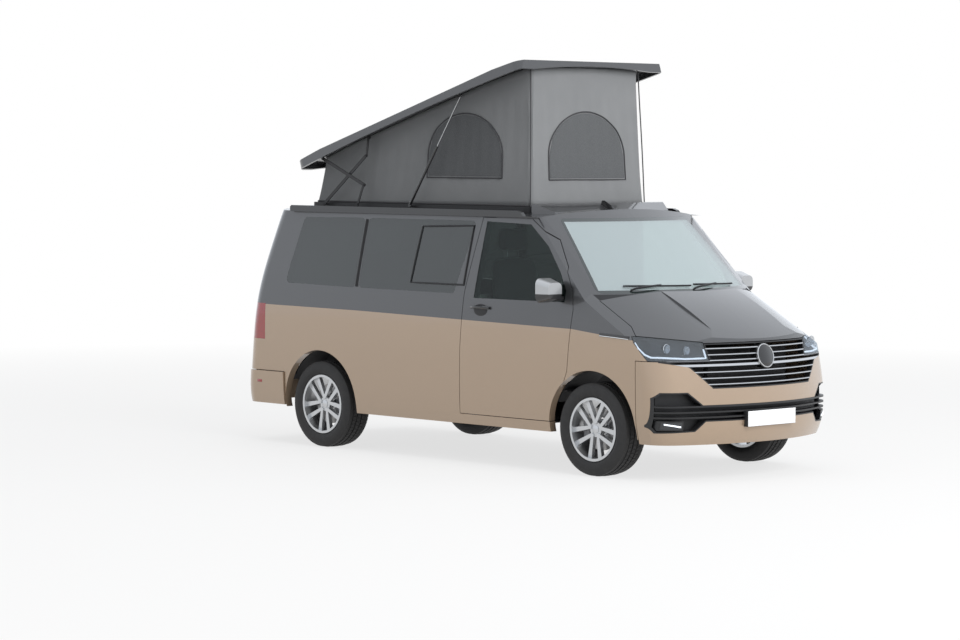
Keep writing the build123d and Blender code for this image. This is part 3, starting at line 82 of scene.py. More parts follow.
class Tone:
    """A node socket that takes part in Python expressions."""

    def __init__(self, finish, socket):
        self.finish = finish
        self.socket = socket

    __add__, __radd__ = overload("ADD"), overload("ADD", True)
    __sub__, __rsub__ = overload("SUBTRACT"), overload("SUBTRACT", True)
    __mul__, __rmul__ = overload("MULTIPLY"), overload("MULTIPLY", True)
    __truediv__ = overload("DIVIDE")
    __gt__, __lt__ = overload("GREATER_THAN"), overload("LESS_THAN")

    def size(self):
        return self.finish.math("ABSOLUTE", self, 0.0)


class Finish:
    """A procedural material: constants on the shader, and tones that vary over the surface."""

    def __init__(self, name, color, roughness=0.5, **constants):
        self.material = bpy.data.materials.new(name)
        self.material.use_nodes = True
        self.tree = self.material.node_tree
        self.shader = self.tree.nodes["Principled BSDF"]
        self.shader.inputs["Base Color"].default_value = (*color, 1.0)
        self.shader.inputs["Roughness"].default_value = roughness
        for words, value in constants.items():
            self.shader.inputs[words.replace("_", " ").title()].default_value = value
        self.material.diffuse_color = (*color, 1.0)

    def node(self, kind, settings=(), inputs=(), out=0):
        made = self.tree.nodes.new(kind)
        for name, value in dict(settings).items():
            setattr(made, name, value)
        for name, value in dict(inputs).items():
            if isinstance(value, Tone):
                self.tree.links.new(value.socket, made.inputs[name])
            else:
                made.inputs[name].default_value = value
        return Tone(self, made.outputs[out])

    def math(self, operation, first, second):
        return self.node("ShaderNodeMath", {"operation": operation}, {0: first, 1: second})

    def coordinates(self):
        return self.node("ShaderNodeTexCoord", out="Object")

    def place(self):
        """The object's own x, y and z as three tones."""
        split = self.node("ShaderNodeSeparateXYZ", inputs={0: self.coordinates()})
        outputs = split.socket.node.outputs
        return [Tone(self, outputs[axis]) for axis in "XYZ"]

    def noise(self, scale, detail):
        inputs = {"Vector": self.coordinates(), "Scale": scale, "Detail": detail, "Roughness": 0.5}
        return self.node("ShaderNodeTexNoise", inputs=inputs, out="Fac")

    def cells(self, scale):
        inputs = {"Vector": self.coordinates(), "Scale": scale}
        return self.node("ShaderNodeTexVoronoi", inputs=inputs, out="Distance")

    def blend(self, mask, first, second):
        """The first colour where the mask is 0 and the second where it is 1."""
        first, second = (value if isinstance(value, Tone) else (*value, 1.0) for value in (first, second))
        # The mix node's sockets for colours: factor, A and B, and the result
        return self.node("ShaderNodeMix", {"data_type": "RGBA"}, {0: mask, 6: first, 7: second}, out=2)

    def feed(self, **tones):
        for words, tone in tones.items():
            self.tree.links.new(tone.socket, self.shader.inputs[words.replace("_", " ").title()])
        return self

    def bump(self, height, strength, distance):
        inputs = {"Height": height, "Strength": strength, "Distance": distance}
        made = self.node("ShaderNodeBump", inputs=inputs, out="Normal")
        self.tree.links.new(made.socket, self.shader.inputs["Normal"])
        return self

    def see_through(self, tint, share):
        """Mix the shader with clear tinted glass: share of light that passes straight through."""
        return self.mix_in(self.node("ShaderNodeBsdfTransparent", inputs={"Color": (*tint, 1.0)}), share)

    def mix_in(self, other, share):
        """Show the other shader with this share in the place of the material's own."""
        own = Tone(self, self.shader.outputs[0])
        mixed = self.node("ShaderNodeMixShader", inputs={0: share, 1: own, 2: other})
        self.tree.links.new(mixed.socket, self.tree.nodes["Material Output"].inputs["Surface"])
        return self


FINISHES = {}


def finish(name):
    return FINISHES[name].material


def band(value, low, high):
    """1 where low < value < high, else 0."""
    return (value > low) * (value < high)


def two_tone_line(place):
    """The height of the paint's dividing line along the van, falling towards the nose."""
    x, y, z = place
    ahead = y * -1.0 - 1.342
    behind = y - 1.0
    return 1.093 + y * 0.0171 - (ahead > 0.0) * ahead * 0.077 - (behind > 0.0) * behind * 0.0106


def make_paint(colors):
    paint = Finish("two_tone_paint", colors.lower_color, 0.34, metallic=0.55, coat_weight=1.0,
                   coat_roughness=0.04)
    place = paint.place()
    upper = place[2] > two_tone_line(place)
    flake = paint.noise(900.0, 2.0)
    shade = paint.blend(upper, colors.lower_color, colors.upper_color)
    bright = paint.blend(upper, [1.25 * c for c in colors.lower_color], [1.6 * c for c in colors.upper_color])
    paint.feed(base_color=paint.blend(flake * 0.5, shade, bright))
    return paint


# Plain finishes: material name, base colour, roughness and the shader's other constants
PLAIN_FINISHES = {
    "gloss_black": ("gloss_black", (0.008, 0.008, 0.009), 0.08, {"coat_weight": 0.6}),
    "chrome": ("chrome", (0.78, 0.79, 0.8), 0.09, {"metallic": 1.0}),
    "alloy": ("silver_alloy", (0.55, 0.56, 0.57), 0.28, {"metallic": 0.85, "coat_weight": 0.6}),
    "bright_steel": ("bright_steel", (0.4, 0.4, 0.41), 0.25, {"metallic": 1.0}),
    "disc": ("brake_disc", (0.38, 0.37, 0.36), 0.35, {"metallic": 1.0}),
    "cast": ("cast_metal", (0.25, 0.25, 0.26), 0.55, {"metallic": 0.7}),
    "seal": ("seal_rubber", (0.01, 0.01, 0.011), 0.6, {}),
    "board": ("light_board", (0.52, 0.51, 0.49), 0.35, {}),
    "plate": ("blank_plate", (0.78, 0.79, 0.8), 0.35, {}),
    "red_lens": ("red_lens", (0.32, 0.012, 0.012), 0.08, {"coat_weight": 1.0}),
    "light_strip": ("light_strip", (0.8, 0.84, 0.9), 0.3,
                    {"emission_color": (0.85, 0.92, 1.0, 1.0), "emission_strength": 0.9}),
    "reflector": ("lamp_reflector", (0.62, 0.64, 0.66), 0.16, {"metallic": 1.0}),
    "lamp_inside": ("lamp_inside", (0.05, 0.052, 0.055), 0.3, {"metallic": 0.4}),
    "mirror_face": ("mirror_face", (0.75, 0.78, 0.8), 0.03, {"metallic": 1.0}),
    "zip": ("zip_tape", (0.05, 0.05, 0.053), 0.8, {}),
}
# Grained finishes: as above, with the grain's scale, detail, strength and depth
GRAINED_FINISHES = {
    "black": ("black_plastic", (0.012, 0.012, 0.013), 0.5, (1400.0, 2.0, 0.25, 0.0004)),
    "cabin": ("cabin_plastic", (0.03, 0.03, 0.032), 0.6, (700.0, 3.0, 0.3, 0.0005)),
    "chassis": ("chassis_coating", (0.02, 0.02, 0.021), 0.62, (160.0, 4.0, 0.3, 0.002)),
}


def make_finishes(colors):
    for key, (name, color, roughness, constants) in PLAIN_FINISHES.items():
        FINISHES[key] = Finish(name, color, roughness, **constants)
    for key, (name, color, roughness, (scale, detail, strength, depth)) in GRAINED_FINISHES.items():
        grained = FINISHES[key] = Finish(name, color, roughness)
        grained.bump(grained.noise(scale, detail), strength, depth)
    FINISHES["paint"] = make_paint(colors)
    FINISHES["roof"] = Finish("roof_paint", colors.upper_color, 0.34, metallic=0.5, coat_weight=1.0,
                              coat_roughness=0.05)
    mirror = FINISHES["mirror"] = Finish("mirror_shell", (0.42, 0.43, 0.44), 0.3, coat_weight=0.6)
    x, y, z = mirror.place()
    capped = (z > 1.325) * (x.size() > 0.985)
    tone = mirror.blend(capped, (0.012, 0.012, 0.013), (0.42, 0.43, 0.44))
    mirror.feed(base_color=tone, metallic=capped * 0.6)
    rubber = FINISHES["rubber"] = Finish("tyre_rubber", (0.016, 0.016, 0.017), 0.72)
    dust = rubber.noise(24.0, 5.0)
    rubber.feed(base_color=rubber.blend(dust, (0.011, 0.011, 0.012), (0.028, 0.027, 0.026)))
    lens = FINISHES["lens"] = Finish("clear_lens", (0.3, 0.32, 0.34), 0.03, coat_weight=1.0)
    lens.see_through((0.8, 0.83, 0.86), 0.86)
    make_glass()
    make_grille()
    make_cloths()


def make_glass():
    """Cab glass is clear, glass behind the cab is dark, the screens have a black printed edge, and the
    windscreen inside its print is coloured pale as a painted sky reflection.
    """
    glass = Finish("tinted_glass", (0.02, 0.026, 0.026), 0.02, coat_weight=1.0)
    x, y, z = glass.place()
    side = x.size() > 0.76
    dark_side = side * (y > -0.27)
    edge_x = 0.818 - (z - 1.326) * 0.2333
    screen = (y < -0.85) * (x.size() < edge_x + 0.02)
    printed = screen * (1.0 - band(z, 1.350, 1.842) * (x.size() < edge_x - 0.022))
    rear = y > 2.0
    printed_rear = rear * (1.0 - band(z, 1.245, 1.735) * (x.size() < 0.612))
    share = 0.80 - 0.38 * screen - 0.62 * dark_side - 0.5 * rear
    # Painted reflection: the windscreen inside its printed edge gets a pale blue-grey base colour that stands
    # in for the sky reflected in it
    painted_sky_reflection = screen * (1.0 - printed)
    glass.feed(base_color=glass.blend(painted_sky_reflection, (0.02, 0.026, 0.026), (0.42, 0.48, 0.5)))
    share = share * (1.0 - printed) * (1.0 - printed_rear)
    glass.see_through((0.72, 0.8, 0.78), share)
    FINISHES["glass"] = glass


def make_grille():
    """Black grille whose bars carry a thin bright line, the main bar a wider one."""
    grille = Finish("grille_black", (0.012, 0.012, 0.013), 0.35)
    x, y, z = grille.place()
    lines = band(z, MAIN_BAR_Z - 0.008, MAIN_BAR_Z + 0.008)
    for height in BAR_HEIGHTS:
        lines = lines + band(z, height - 0.003, height + 0.003)
    lines = lines * (y < -2.2)
    grille.feed(base_color=grille.blend(lines, (0.012, 0.012, 0.013), (0.6, 0.61, 0.62)))
    grille.feed(metallic=lines, roughness=0.4 - 0.22 * lines)
    FINISHES["grille"] = grille


def make_cloths():
    canopy = Finish("canopy_cloth", (0.17, 0.175, 0.18), 0.85, sheen_weight=0.25)
    weave = canopy.node("ShaderNodeTexWave", {"wave_type": "BANDS", "bands_direction": "Z"},
                        {"Vector": canopy.coordinates(), "Scale": 260.0}, out="Fac")
    patch = canopy.noise(3.0, 4.0)
    canopy.feed(base_color=canopy.blend(patch, (0.155, 0.16, 0.165), (0.2, 0.205, 0.21)))
    canopy.bump(weave, 0.2, 0.0006)
    FINISHES["canopy"] = canopy
    net = Finish("canopy_net", (0.075, 0.078, 0.082), 0.9)
    net.feed(base_color=net.blend(net.cells(420.0), (0.05, 0.052, 0.055), (0.13, 0.135, 0.14)))
    FINISHES["net"] = net
    seat = Finish("seat_cloth", (0.06, 0.061, 0.064), 0.85, sheen_weight=0.2)
    thread = seat.cells(380.0)
    seat.feed(base_color=seat.blend(thread, (0.04, 0.041, 0.044), (0.1, 0.1, 0.105)))
    seat.bump(thread, 0.3, 0.0008)
    FINISHES["seat"] = seat


# Shapes


def finished(name, bm, finish_name, body, smooth=35.0):
    """Turn a bmesh into a piece that rides on a body, with smooth faces and crisp edges."""
    bmesh.ops.remove_doubles(bm, verts=bm.verts, dist=1e-6)
    bmesh.ops.recalc_face_normals(bm, faces=bm.faces)
    mesh = bpy.data.meshes.new(name)
    bm.to_mesh(mesh)
    bm.free()
    mesh.materials.append(finish(finish_name))
    mesh.polygons.foreach_set("use_smooth", [True] * len(mesh.polygons))
    mesh.set_sharp_from_angle(angle=math.radians(smooth))
    piece = bpy.data.objects.new(name, mesh)
    bpy.context.scene.collection.objects.link(piece)
    if body:
        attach(piece, body)
    return piece


def add_box(bm, low, high, round_by=0.0, segments=2):
    """A box between two corners, with its edges rounded."""
    low, high = Vector(low), Vector(high)
    made = bmesh.ops.create_cube(bm, size=1.0)["verts"]
    middle = (low + high) / 2
    for vert in made:
        vert.co = Vector(c * s for c, s in zip(vert.co, high - low)) + middle
    if round_by:
        edges = {edge for vert in made for edge in vert.link_edges}
        bmesh.ops.bevel(bm, geom=list(edges), offset=round_by, segments=segments, affect="EDGES",
                        profile=0.5, material=-1)
    return made


def add_turned(bm, profile, centre, axis, steps):
    """A closed ring or disc turned from (along, radius) points about an axis through the centre."""
    first = []
    for along, radius in profile:
        point = {"X": (along, 0, radius), "Y": (radius, along, 0), "Z": (radius, 0, along)}[axis]
        first.append(bm.verts.new(Vector(centre) + Vector(point)))
    edges = [bm.edges.new(pair) for pair in zip(first, first[1:] + first[:1])]
    turn = {"X": (1, 0, 0), "Y": (0, 1, 0), "Z": (0, 0, 1)}[axis]
    bmesh.ops.spin(bm, geom=first + edges, cent=centre, axis=turn, angle=math.tau, steps=steps, use_merge=True)
    bmesh.ops.remove_doubles(bm, verts=bm.verts, dist=1e-6)


def box(name, low, high, round_by, finish_name, body, segments=2):
    bm = bmesh.new()
    add_box(bm, low, high, round_by, segments)
    return finished(name, bm, finish_name, body)


def turned(name, profile, centre, axis, steps, finish_name, body):
    bm = bmesh.new()
    add_turned(bm, profile, centre, axis, steps)
    return finished(name, bm, finish_name, body)


def skin(rows, thickness):
    """A thin sheet through rows of points."""
    bm = bmesh.new()
    lines = []
    for row in rows:
        verts = [bm.verts.new(point) for point in row]
        lines.append([bm.edges.new(pair) for pair in zip(verts, verts[1:])])
    for one, two in zip(lines, lines[1:]):
        bmesh.ops.bridge_loops(bm, edges=one + two)
    bmesh.ops.solidify(bm, geom=bm.faces, thickness=thickness)
    return bm


def pipe(name, points, radius, finish_name, body, closed=False, smooth_line=True, flat=0.0):
    """A round bar along a line of points; flat stretches it across the line into a strip."""
    curve = bpy.data.curves.new(name, "CURVE")
    curve.dimensions = "3D"
    curve.bevel_depth = radius
    curve.bevel_resolution = 3
    curve.use_fill_caps = True
    curve.extrude = flat
    spline = curve.splines.new("NURBS" if smooth_line else "POLY")
    spline.points.add(len(points) - 1)
    for target, point in zip(spline.points, points):
        target.co = (*point, 1.0)
    spline.use_cyclic_u = closed
    if smooth_line:
        spline.order_u = 3
        spline.use_endpoint_u = not closed
    holder = bpy.data.objects.new(name + "_line", curve)
    bpy.context.scene.collection.objects.link(holder)
    bpy.context.view_layer.update()
    mesh = bpy.data.meshes.new_from_object(holder)
    bpy.data.objects.remove(holder)
    bm = bmesh.new()
    bm.from_mesh(mesh)
    bpy.data.meshes.remove(mesh)
    return finished(name, bm, finish_name, body)


def surface_of(*names):
    """A search tree over the faces of CAD nodes at rest."""
    points, faces = [], []
    for name in names:
        mesh = NODES[name].data
        start = len(points)
        points += [vertex.co.copy() for vertex in mesh.vertices]
        faces += [[start + index for index in polygon.vertices] for polygon in mesh.polygons]
    return BVHTree.FromPolygons(points, faces)


def hit(tree, start, towards):
    """Where a straight look from start first meets the surface, with the surface's outward side."""
    place, normal, index, distance = tree.ray_cast(Vector(start), Vector(towards).normalized())
    if place is None:
        raise RuntimeError(f"nothing is met from {tuple(start)} towards {tuple(towards)}")
    if normal.dot(Vector(towards)) > 0:
        normal = -normal
    return place, normal


def side_points(tree, outline, side, lift=0.0):
    """Points (y, z) laid on the van's flank and lifted off it."""
    made = []
    for y, z in outline:
        place, normal = hit(tree, (side * 1.4, y, z), (-side, 0, 0))
        made.append(place + normal * lift)
    return made


def front_points(tree, outline, lift=0.0, start_y=-3.0):
    """Points (x, z) laid on the van's nose and lifted off it."""
    made = []
    for x, z in outline:
        place, normal = hit(tree, (x, start_y, z), (0, 1 if start_y < 0 else -1, 0))
        made.append(place + normal * lift)
    return made


def dense(outline, step):
    """The outline with extra points on its long runs."""
    made = [outline[0]]
    for start, end in zip(outline, outline[1:]):
        count = max(1, round(math.dist(start, end) / step))
        for index in range(1, count + 1):
            share = index / count
            made.append(tuple(a + (b - a) * share for a, b in zip(start, end)))
    return made


def copied_faces(node, wanted):
    """A bmesh with the faces of a CAD node that the test keeps, joined along their edges."""
    bm = bmesh.new()
    bm.from_mesh(NODES[node].data)
    bmesh.ops.remove_doubles(bm, verts=bm.verts, dist=1e-5)
    bmesh.ops.delete(bm, geom=[face for face in bm.faces if not wanted(face)], context="FACES")
    return bm


# Operators


class VanColors(bpy.types.PropertyGroup):
    upper_color: FloatVectorProperty(
        name="Upper colour", description="Paint above the dividing line", subtype="COLOR", min=0.0, max=1.0,
        default=(0.062, 0.063, 0.066))
    lower_color: FloatVectorProperty(
        name="Lower colour", description="Paint below the dividing line", subtype="COLOR", min=0.0, max=1.0,
        default=(0.36, 0.265, 0.185))


class StageSizes(bpy.types.PropertyGroup):
    floor_size: FloatProperty(name="Floor size", description="Side of the square floor", default=120.0,
                              unit="LENGTH")
    camera_yaw: FloatProperty(name="Camera yaw", description="Turn of the view away from the van's length",
                              default=math.radians(43.87), subtype="ANGLE")
    camera_pitch: FloatProperty(name="Camera pitch", description="How far the view looks down",
                                default=math.radians(3.159), subtype="ANGLE")
    camera_roll: FloatProperty(name="Camera roll", description="Lean of the view", default=math.radians(0.2646),
                               subtype="ANGLE")
    camera_place: FloatVectorProperty(name="Camera place", description="Where the camera stands",
                                      default=(-17.2432, -17.3411, 2.3929), subtype="TRANSLATION")
    camera_lens: FloatProperty(name="Lens", description="Focal length in millimetres", default=117.4)


class CanopySizes(bpy.types.PropertyGroup):
    foot_height: FloatProperty(name="Foot height", description="Height of the cloth's lower edge",
                               default=1.947, unit="LENGTH")
    slack: FloatProperty(name="Slack", description="How far the walls sag inwards", default=0.014,
                         unit="LENGTH")


class SeatSizes(bpy.types.PropertyGroup):
    fill: FloatProperty(name="Fill", description="How full the cushions are", default=0.75, min=0.0, max=1.0)


class CAMPER_OT_finishes(bpy.types.Operator):
    """Give every CAD node its finish"""

    bl_idname = "camper.finishes"
    bl_label = "Finishes"

    def execute(self, context):
        make_finishes(context.scene.camper_colors)
        for name, nodes in NODE_FINISHES.items():
            for mesh in (NODES[node].data for node in nodes):
                for index in range(len(mesh.materials)):
                    mesh.materials[index] = finish(name)
                if not mesh.materials:
                    mesh.materials.append(finish(name))
        return {"FINISHED"}


WHEELS = ("front_right", "front_left", "rear_right", "rear_left")
NODE_FINISHES = {
    "paint": ("body_shell", "bumpers", "bonnet", "sliding_door", "tailgate", "door_right", "door_left"),
    "roof": ("roof_panel",), "grille": ("grille",), "lens": ("lamps",), "canopy": ("canopy",),
    "glass": ("fixed_glass", "tailgate_glass", "door_glass_right", "door_glass_left"),
    "mirror": ("mirror_right", "mirror_left"), "seat": ("seats",), "board": ("cupboard",),
    "black": ("scuttle", "stay_lower", "stay_upper", "link_upper", "link_lower", "roof_frame"),
    "gloss_black": ("strut_tube", "roof_rails"), "bright_steel": ("strut_rod",),
    "cabin": ("dashboard", "steering_wheel"), "cast": ("engine", "knuckle_left", "knuckle_right"),
    "chassis": ("floor_pan", "underbody", "front_subframe", "rear_axle"),
    "alloy": [f"rim_{wheel}" for wheel in WHEELS], "rubber": [f"tyre_{wheel}" for wheel in WHEELS],
}


class CAMPER_OT_stage(bpy.types.Operator):
    """Lay the floor, light the van and stand the camera"""

    bl_idname = "camper.stage"
    bl_label = "Stage"

    # Lamps: name, place, size and watts
    LAMPS = (
        ("key_lamp", (-2.0, -13.0, 8.0), 9.0, 1900.0), ("side_lamp", (-11.0, 2.0, 6.0), 8.0, 110.0),
        ("fill_lamp", (8.0, -6.0, 6.0), 8.0, 300.0), ("top_lamp", (0.0, 1.0, 10.0), 10.0, 420.0),
    )
    # Shadows on the floor fade out at this distance from the middle of the van
    SHADOW_REACH = 14.0

    def execute(self, context):
        sizes = context.scene.camper_stage
        bm = bmesh.new()
        bmesh.ops.create_grid(bm, x_segments=1, y_segments=1, size=sizes.floor_size / 2)
        floor_finish = Finish("white_floor", (0.6, 0.6, 0.6), 0.8)
        self.show_white(floor_finish)
        FINISHES["floor"] = floor_finish
        floor = finished("floor", bm, "floor", None)
        self.light(context)
        self.camera(context, sizes)
        return {"FINISHED"}

    def show_white(self, made):
        """The floor looks white to the camera and in reflections, and keeps its shadows near the van."""
        x, y, z = made.place()
        far = made.math("MINIMUM", (x * x + y * y) / self.SHADOW_REACH**2, 1.0)
        paths = made.tree.nodes.new("ShaderNodeLightPath").outputs
        seen = made.math("MAXIMUM", Tone(made, paths["Is Camera Ray"]), Tone(made, paths["Is Glossy Ray"]))
        seen = made.math("MAXIMUM", seen, Tone(made, paths["Is Transmission Ray"]))
        glow = made.node("ShaderNodeEmission", inputs={"Color": (1.0, 1.0, 1.0, 1.0), "Strength": 1.0})
        made.mix_in(glow, seen * (0.72 + 0.28 * far))

    def light(self, context):
        world = bpy.data.worlds.new("soft_sky")
        world.use_nodes = True
        context.scene.world = world
        tree = world.node_tree
        background = tree.nodes["Background"]
        background.inputs["Color"].default_value = (0.86, 0.88, 0.9, 1.0)
        background.inputs["Strength"].default_value = 0.55
        # White where the camera looks past the van, and a brighter sky in its reflections
        paths = tree.nodes.new("ShaderNodeLightPath").outputs
        shown = background.outputs[0]
        for kinds, color, strength in (
            (("Is Camera Ray", "Is Transmission Ray"), (1.0, 1.0, 1.0, 1.0), 1.0),
            (("Is Glossy Ray", "Is Glossy Ray"), (0.9, 0.94, 1.0, 1.0), 1.15),
        ):
            sky = tree.nodes.new("ShaderNodeBackground")
            sky.inputs["Color"].default_value = color
            sky.inputs["Strength"].default_value = strength
            either = tree.nodes.new("ShaderNodeMath")
            either.operation = "MAXIMUM"
            mix = tree.nodes.new("ShaderNodeMixShader")
            for kind, socket in zip(kinds, either.inputs):
                tree.links.new(paths[kind], socket)
            tree.links.new(either.outputs[0], mix.inputs[0])
            tree.links.new(shown, mix.inputs[1])
            tree.links.new(sky.outputs[0], mix.inputs[2])
            shown = mix.outputs[0]
        tree.links.new(shown, tree.nodes["World Output"].inputs["Surface"])
        for name, place, size, watts in self.LAMPS:
            lamp = bpy.data.lights.new(name, "AREA")
            lamp.energy = watts
            lamp.size = size
            holder = bpy.data.objects.new(name, lamp)
            holder.location = place
            holder.visible_glossy = False
            aim = Vector((0, 0, 1.2)) - Vector(place)
            holder.rotation_euler = aim.to_track_quat("-Z", "Y").to_euler()
            context.scene.collection.objects.link(holder)

    def camera(self, context, sizes):
        yaw, pitch, roll = sizes.camera_yaw, sizes.camera_pitch, sizes.camera_roll
        look = Vector((math.sin(yaw) * math.cos(pitch), math.cos(yaw) * math.cos(pitch), -math.sin(pitch)))
        across = look.cross(Vector((0, 0, 1))).normalized()
        upward = across.cross(look)
        right = across * math.cos(roll) + upward * math.sin(roll)
        top = upward * math.cos(roll) - across * math.sin(roll)
        camera = bpy.data.objects.new("camera", bpy.data.cameras.new("camera"))
        camera.data.sensor_width = 36.0
        camera.data.lens = sizes.camera_lens
        camera.data.clip_end = 300.0
        context.scene.collection.objects.link(camera)
        turn = Matrix((right, top, -look)).transposed().to_4x4()
        camera.matrix_world = Matrix.Translation(sizes.camera_place) @ turn
        context.scene.camera = camera
        context.scene.view_settings.view_transform = "Standard"


class CAMPER_OT_canopy(bpy.types.Operator):
    """Sew the canopy: one cloth round the roof, with netted windows, zips and seams"""

    bl_idname = "camper.canopy"
    bl_label = "Canopy"

    # The cloth's foot: half width, front and back; its corners' radius
    FOOT = (0.632, -0.602, 1.862)
    CORNER = 0.05
    # The lift's axis (y, z) and its turn from closed to raised
    POLE = (2.938, 2.334)
    TURN = math.radians(17.0)

    def head(self, x, y):
        """The point above (x, y) of the foot on the raised panel's underside."""
        half, front, back = self.FOOT
        across = x / half
        along = (y - front) / (back - front)
        closed = Vector((across * (0.592 + 0.02 * along), -0.6 + along * 2.445))
        bow = 1.0 - ((closed.y - 0.66) / 1.324) ** 2
        crown = 1.0 - (closed.x / 0.79) ** 2
        height = 1.944 + min(0.044 * bow, 0.018 + 0.026 * crown)
        pole_y, pole_z = self.POLE
        dy, dz = closed.y - pole_y, height - pole_z
        cos, sin = math.cos(-self.TURN), math.sin(-self.TURN)
        return Vector((closed.x, pole_y + dy * cos - dz * sin, pole_z + dy * sin + dz * cos))

    def loop(self, step):
        """Points (x, y) round the foot, with rounded corners."""
        half, front, back = self.FOOT
        r = self.CORNER
        made = []
        for cx, cy, start in ((half - r, front + r, -90), (half - r, back - r, 0),
                              (-half + r, back - r, 90), (-half + r, front + r, 180)):
            for k in range(7):
                a = math.radians(start + 15 * k)
                made.append((cx + r * math.cos(a), cy + r * math.sin(a)))
        return dense(made + made[:1], step)[:-1]

    def wall(self, x, y, share, slack):
        """A point on the cloth: share is 0 at the foot and 1 at the panel."""
        half, front, back = self.FOOT
        foot = Vector((x, y, self.foot))
        top = self.head(x, y)
        place = foot.lerp(top, share)
        tall = (top - foot).length
        inward = Vector((-x / half if abs(x) > half - 0.03 else 0.0,
                         1.0 if y < front + 0.03 else (-1.0 if y > back - 0.03 else 0.0), 0))
        run = y if abs(x) > half - 0.03 else x
        sag = slack * min(1.0, tall / 0.5) * math.sin(math.pi * share) * (0.75 + 0.25 * math.sin(run * 9.0))
        fold = 0.0022 * math.sin(run * 46.0 + 3.0 * share) * math.sin(math.pi * share)
        return place + inward * (sag + fold)

    def execute(self, context):
        sizes = context.scene.camper_canopy
        self.foot = sizes.foot_height
        rows = 22
        around = self.loop(0.03)
        bm = bmesh.new()
        rings = []
        for row in range(rows + 1):
            ring = [bm.verts.new(self.wall(x, y, row / rows, sizes.slack)) for x, y in around]
            rings.append([bm.edges.new(pair) for pair in zip(ring, ring[1:] + ring[:1])])
        for lower, upper in zip(rings, rings[1:]):
            bmesh.ops.bridge_loops(bm, edges=lower + upper)
        bmesh.ops.recalc_face_normals(bm, faces=bm.faces)
        area = sum(face.calc_area() for face in bm.faces)
        cloth = finished("canopy_walls", bm, "canopy", None, smooth=60.0)
        thicken = cloth.modifiers.new("cloth_thickness", "SOLIDIFY")
        thicken.thickness = 0.0016
        thicken.offset = -1.0
        self.apply(context, cloth)
        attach(cloth, "van")
        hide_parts("canopy")
        extras = self.windows(sizes) + self.seams()
        for piece in [cloth] + extras:
            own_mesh(piece)
        return {"FINISHED"}

    def apply(self, context, piece):
        bpy.context.view_layer.update()
        solid = bpy.data.meshes.new_from_object(piece.evaluated_get(context.evaluated_depsgraph_get()))
        piece.modifiers.clear()
        piece.data = solid

    def on_wall(self, wall, run, height, lift):
        """A point on a wall at a run along it and a height above the ground, lifted outwards."""
        half, front, back = self.FOOT
        x, y = {"right": (-half, run), "left": (half, run), "front": (run, front)}[wall]
        top = self.head(x, y)
        share = (height - self.foot) / (top.z - self.foot)
        outward = Vector({"right": (-1, 0, 0), "left": (1, 0, 0), "front": (0, -1, 0)}[wall])
        return self.wall(x, y, share, self.slack) + outward * lift

    def arch(self, wall, low, high, foot, crown, steps=28):
        """An arch outline on a wall: upright sides and a round head."""
        middle, half = (low + high) / 2, (high - low) / 2
        points = [(low, foot)]
        for k in range(steps + 1):
            a = math.pi * (1 - k / steps)
            points.append((middle + half * math.cos(a), foot + (crown - foot) * (0.35 + 0.65 * math.sin(a))))
        return points + [(high, foot)]

    # Netted windows: wall, the two ends of the run along it, and the heights of foot and crown
    WINDOWS = (
        ("right", -0.279, 0.545, 2.170, 2.640), ("left", -0.279, 0.545, 2.170, 2.640),
        ("front", -0.412, 0.412, 2.160, 2.655),
    )

    def windows(self, sizes):
        self.slack = sizes.slack
        made = []
        for wall, low, high, foot, crown in self.WINDOWS:
            middle, half = (low + high) / 2, (high - low) / 2
            rows, columns = 14, 24
            grid = []
            for i in range(columns + 1):
                run = low + (high - low) * i / columns
                rise = 0.35 + 0.65 * math.sqrt(max(0.0, 1 - ((run - middle) / half) ** 2))
                top = foot + (crown - foot) * rise
                grid.append([self.on_wall(wall, run, foot + (top - foot) * j / rows, 0.0022)
                             for j in range(rows + 1)])
            net = skin(grid, 0.0012)
            made.append(finished(f"canopy_window_{wall}", net, "net", "van", 60.0))
            outline = [self.on_wall(wall, run, z, 0.003) for run, z in
                       dense(self.arch(wall, low - 0.012, high + 0.012, foot - 0.012, crown + 0.012), 0.05)]
            made.append(pipe(f"canopy_zip_{wall}", outline + outline[:1], 0.0055, "zip", "van",
                             smooth_line=False))
        return made

    def seams(self):
        """Piping at the front corners and a cord along the foot."""
        half, front, back = self.FOOT
        made = []
        for side_name, side in SIDES:
            points = [self.wall(side * half * 0.992, front + 0.004, k / 10, 0.0) for k in range(11)]
            made.append(pipe(f"canopy_corner_{side_name}", points, 0.005, "zip", "van"))
        ring = self.loop(0.06)
        low = [self.wall(x, y, 0.0, 0.0) + Vector((0, 0, 0.006)) for x, y in ring]
        made.append(pipe("canopy_foot_cord", low, 0.007, "zip", "van", closed=True))
        return made


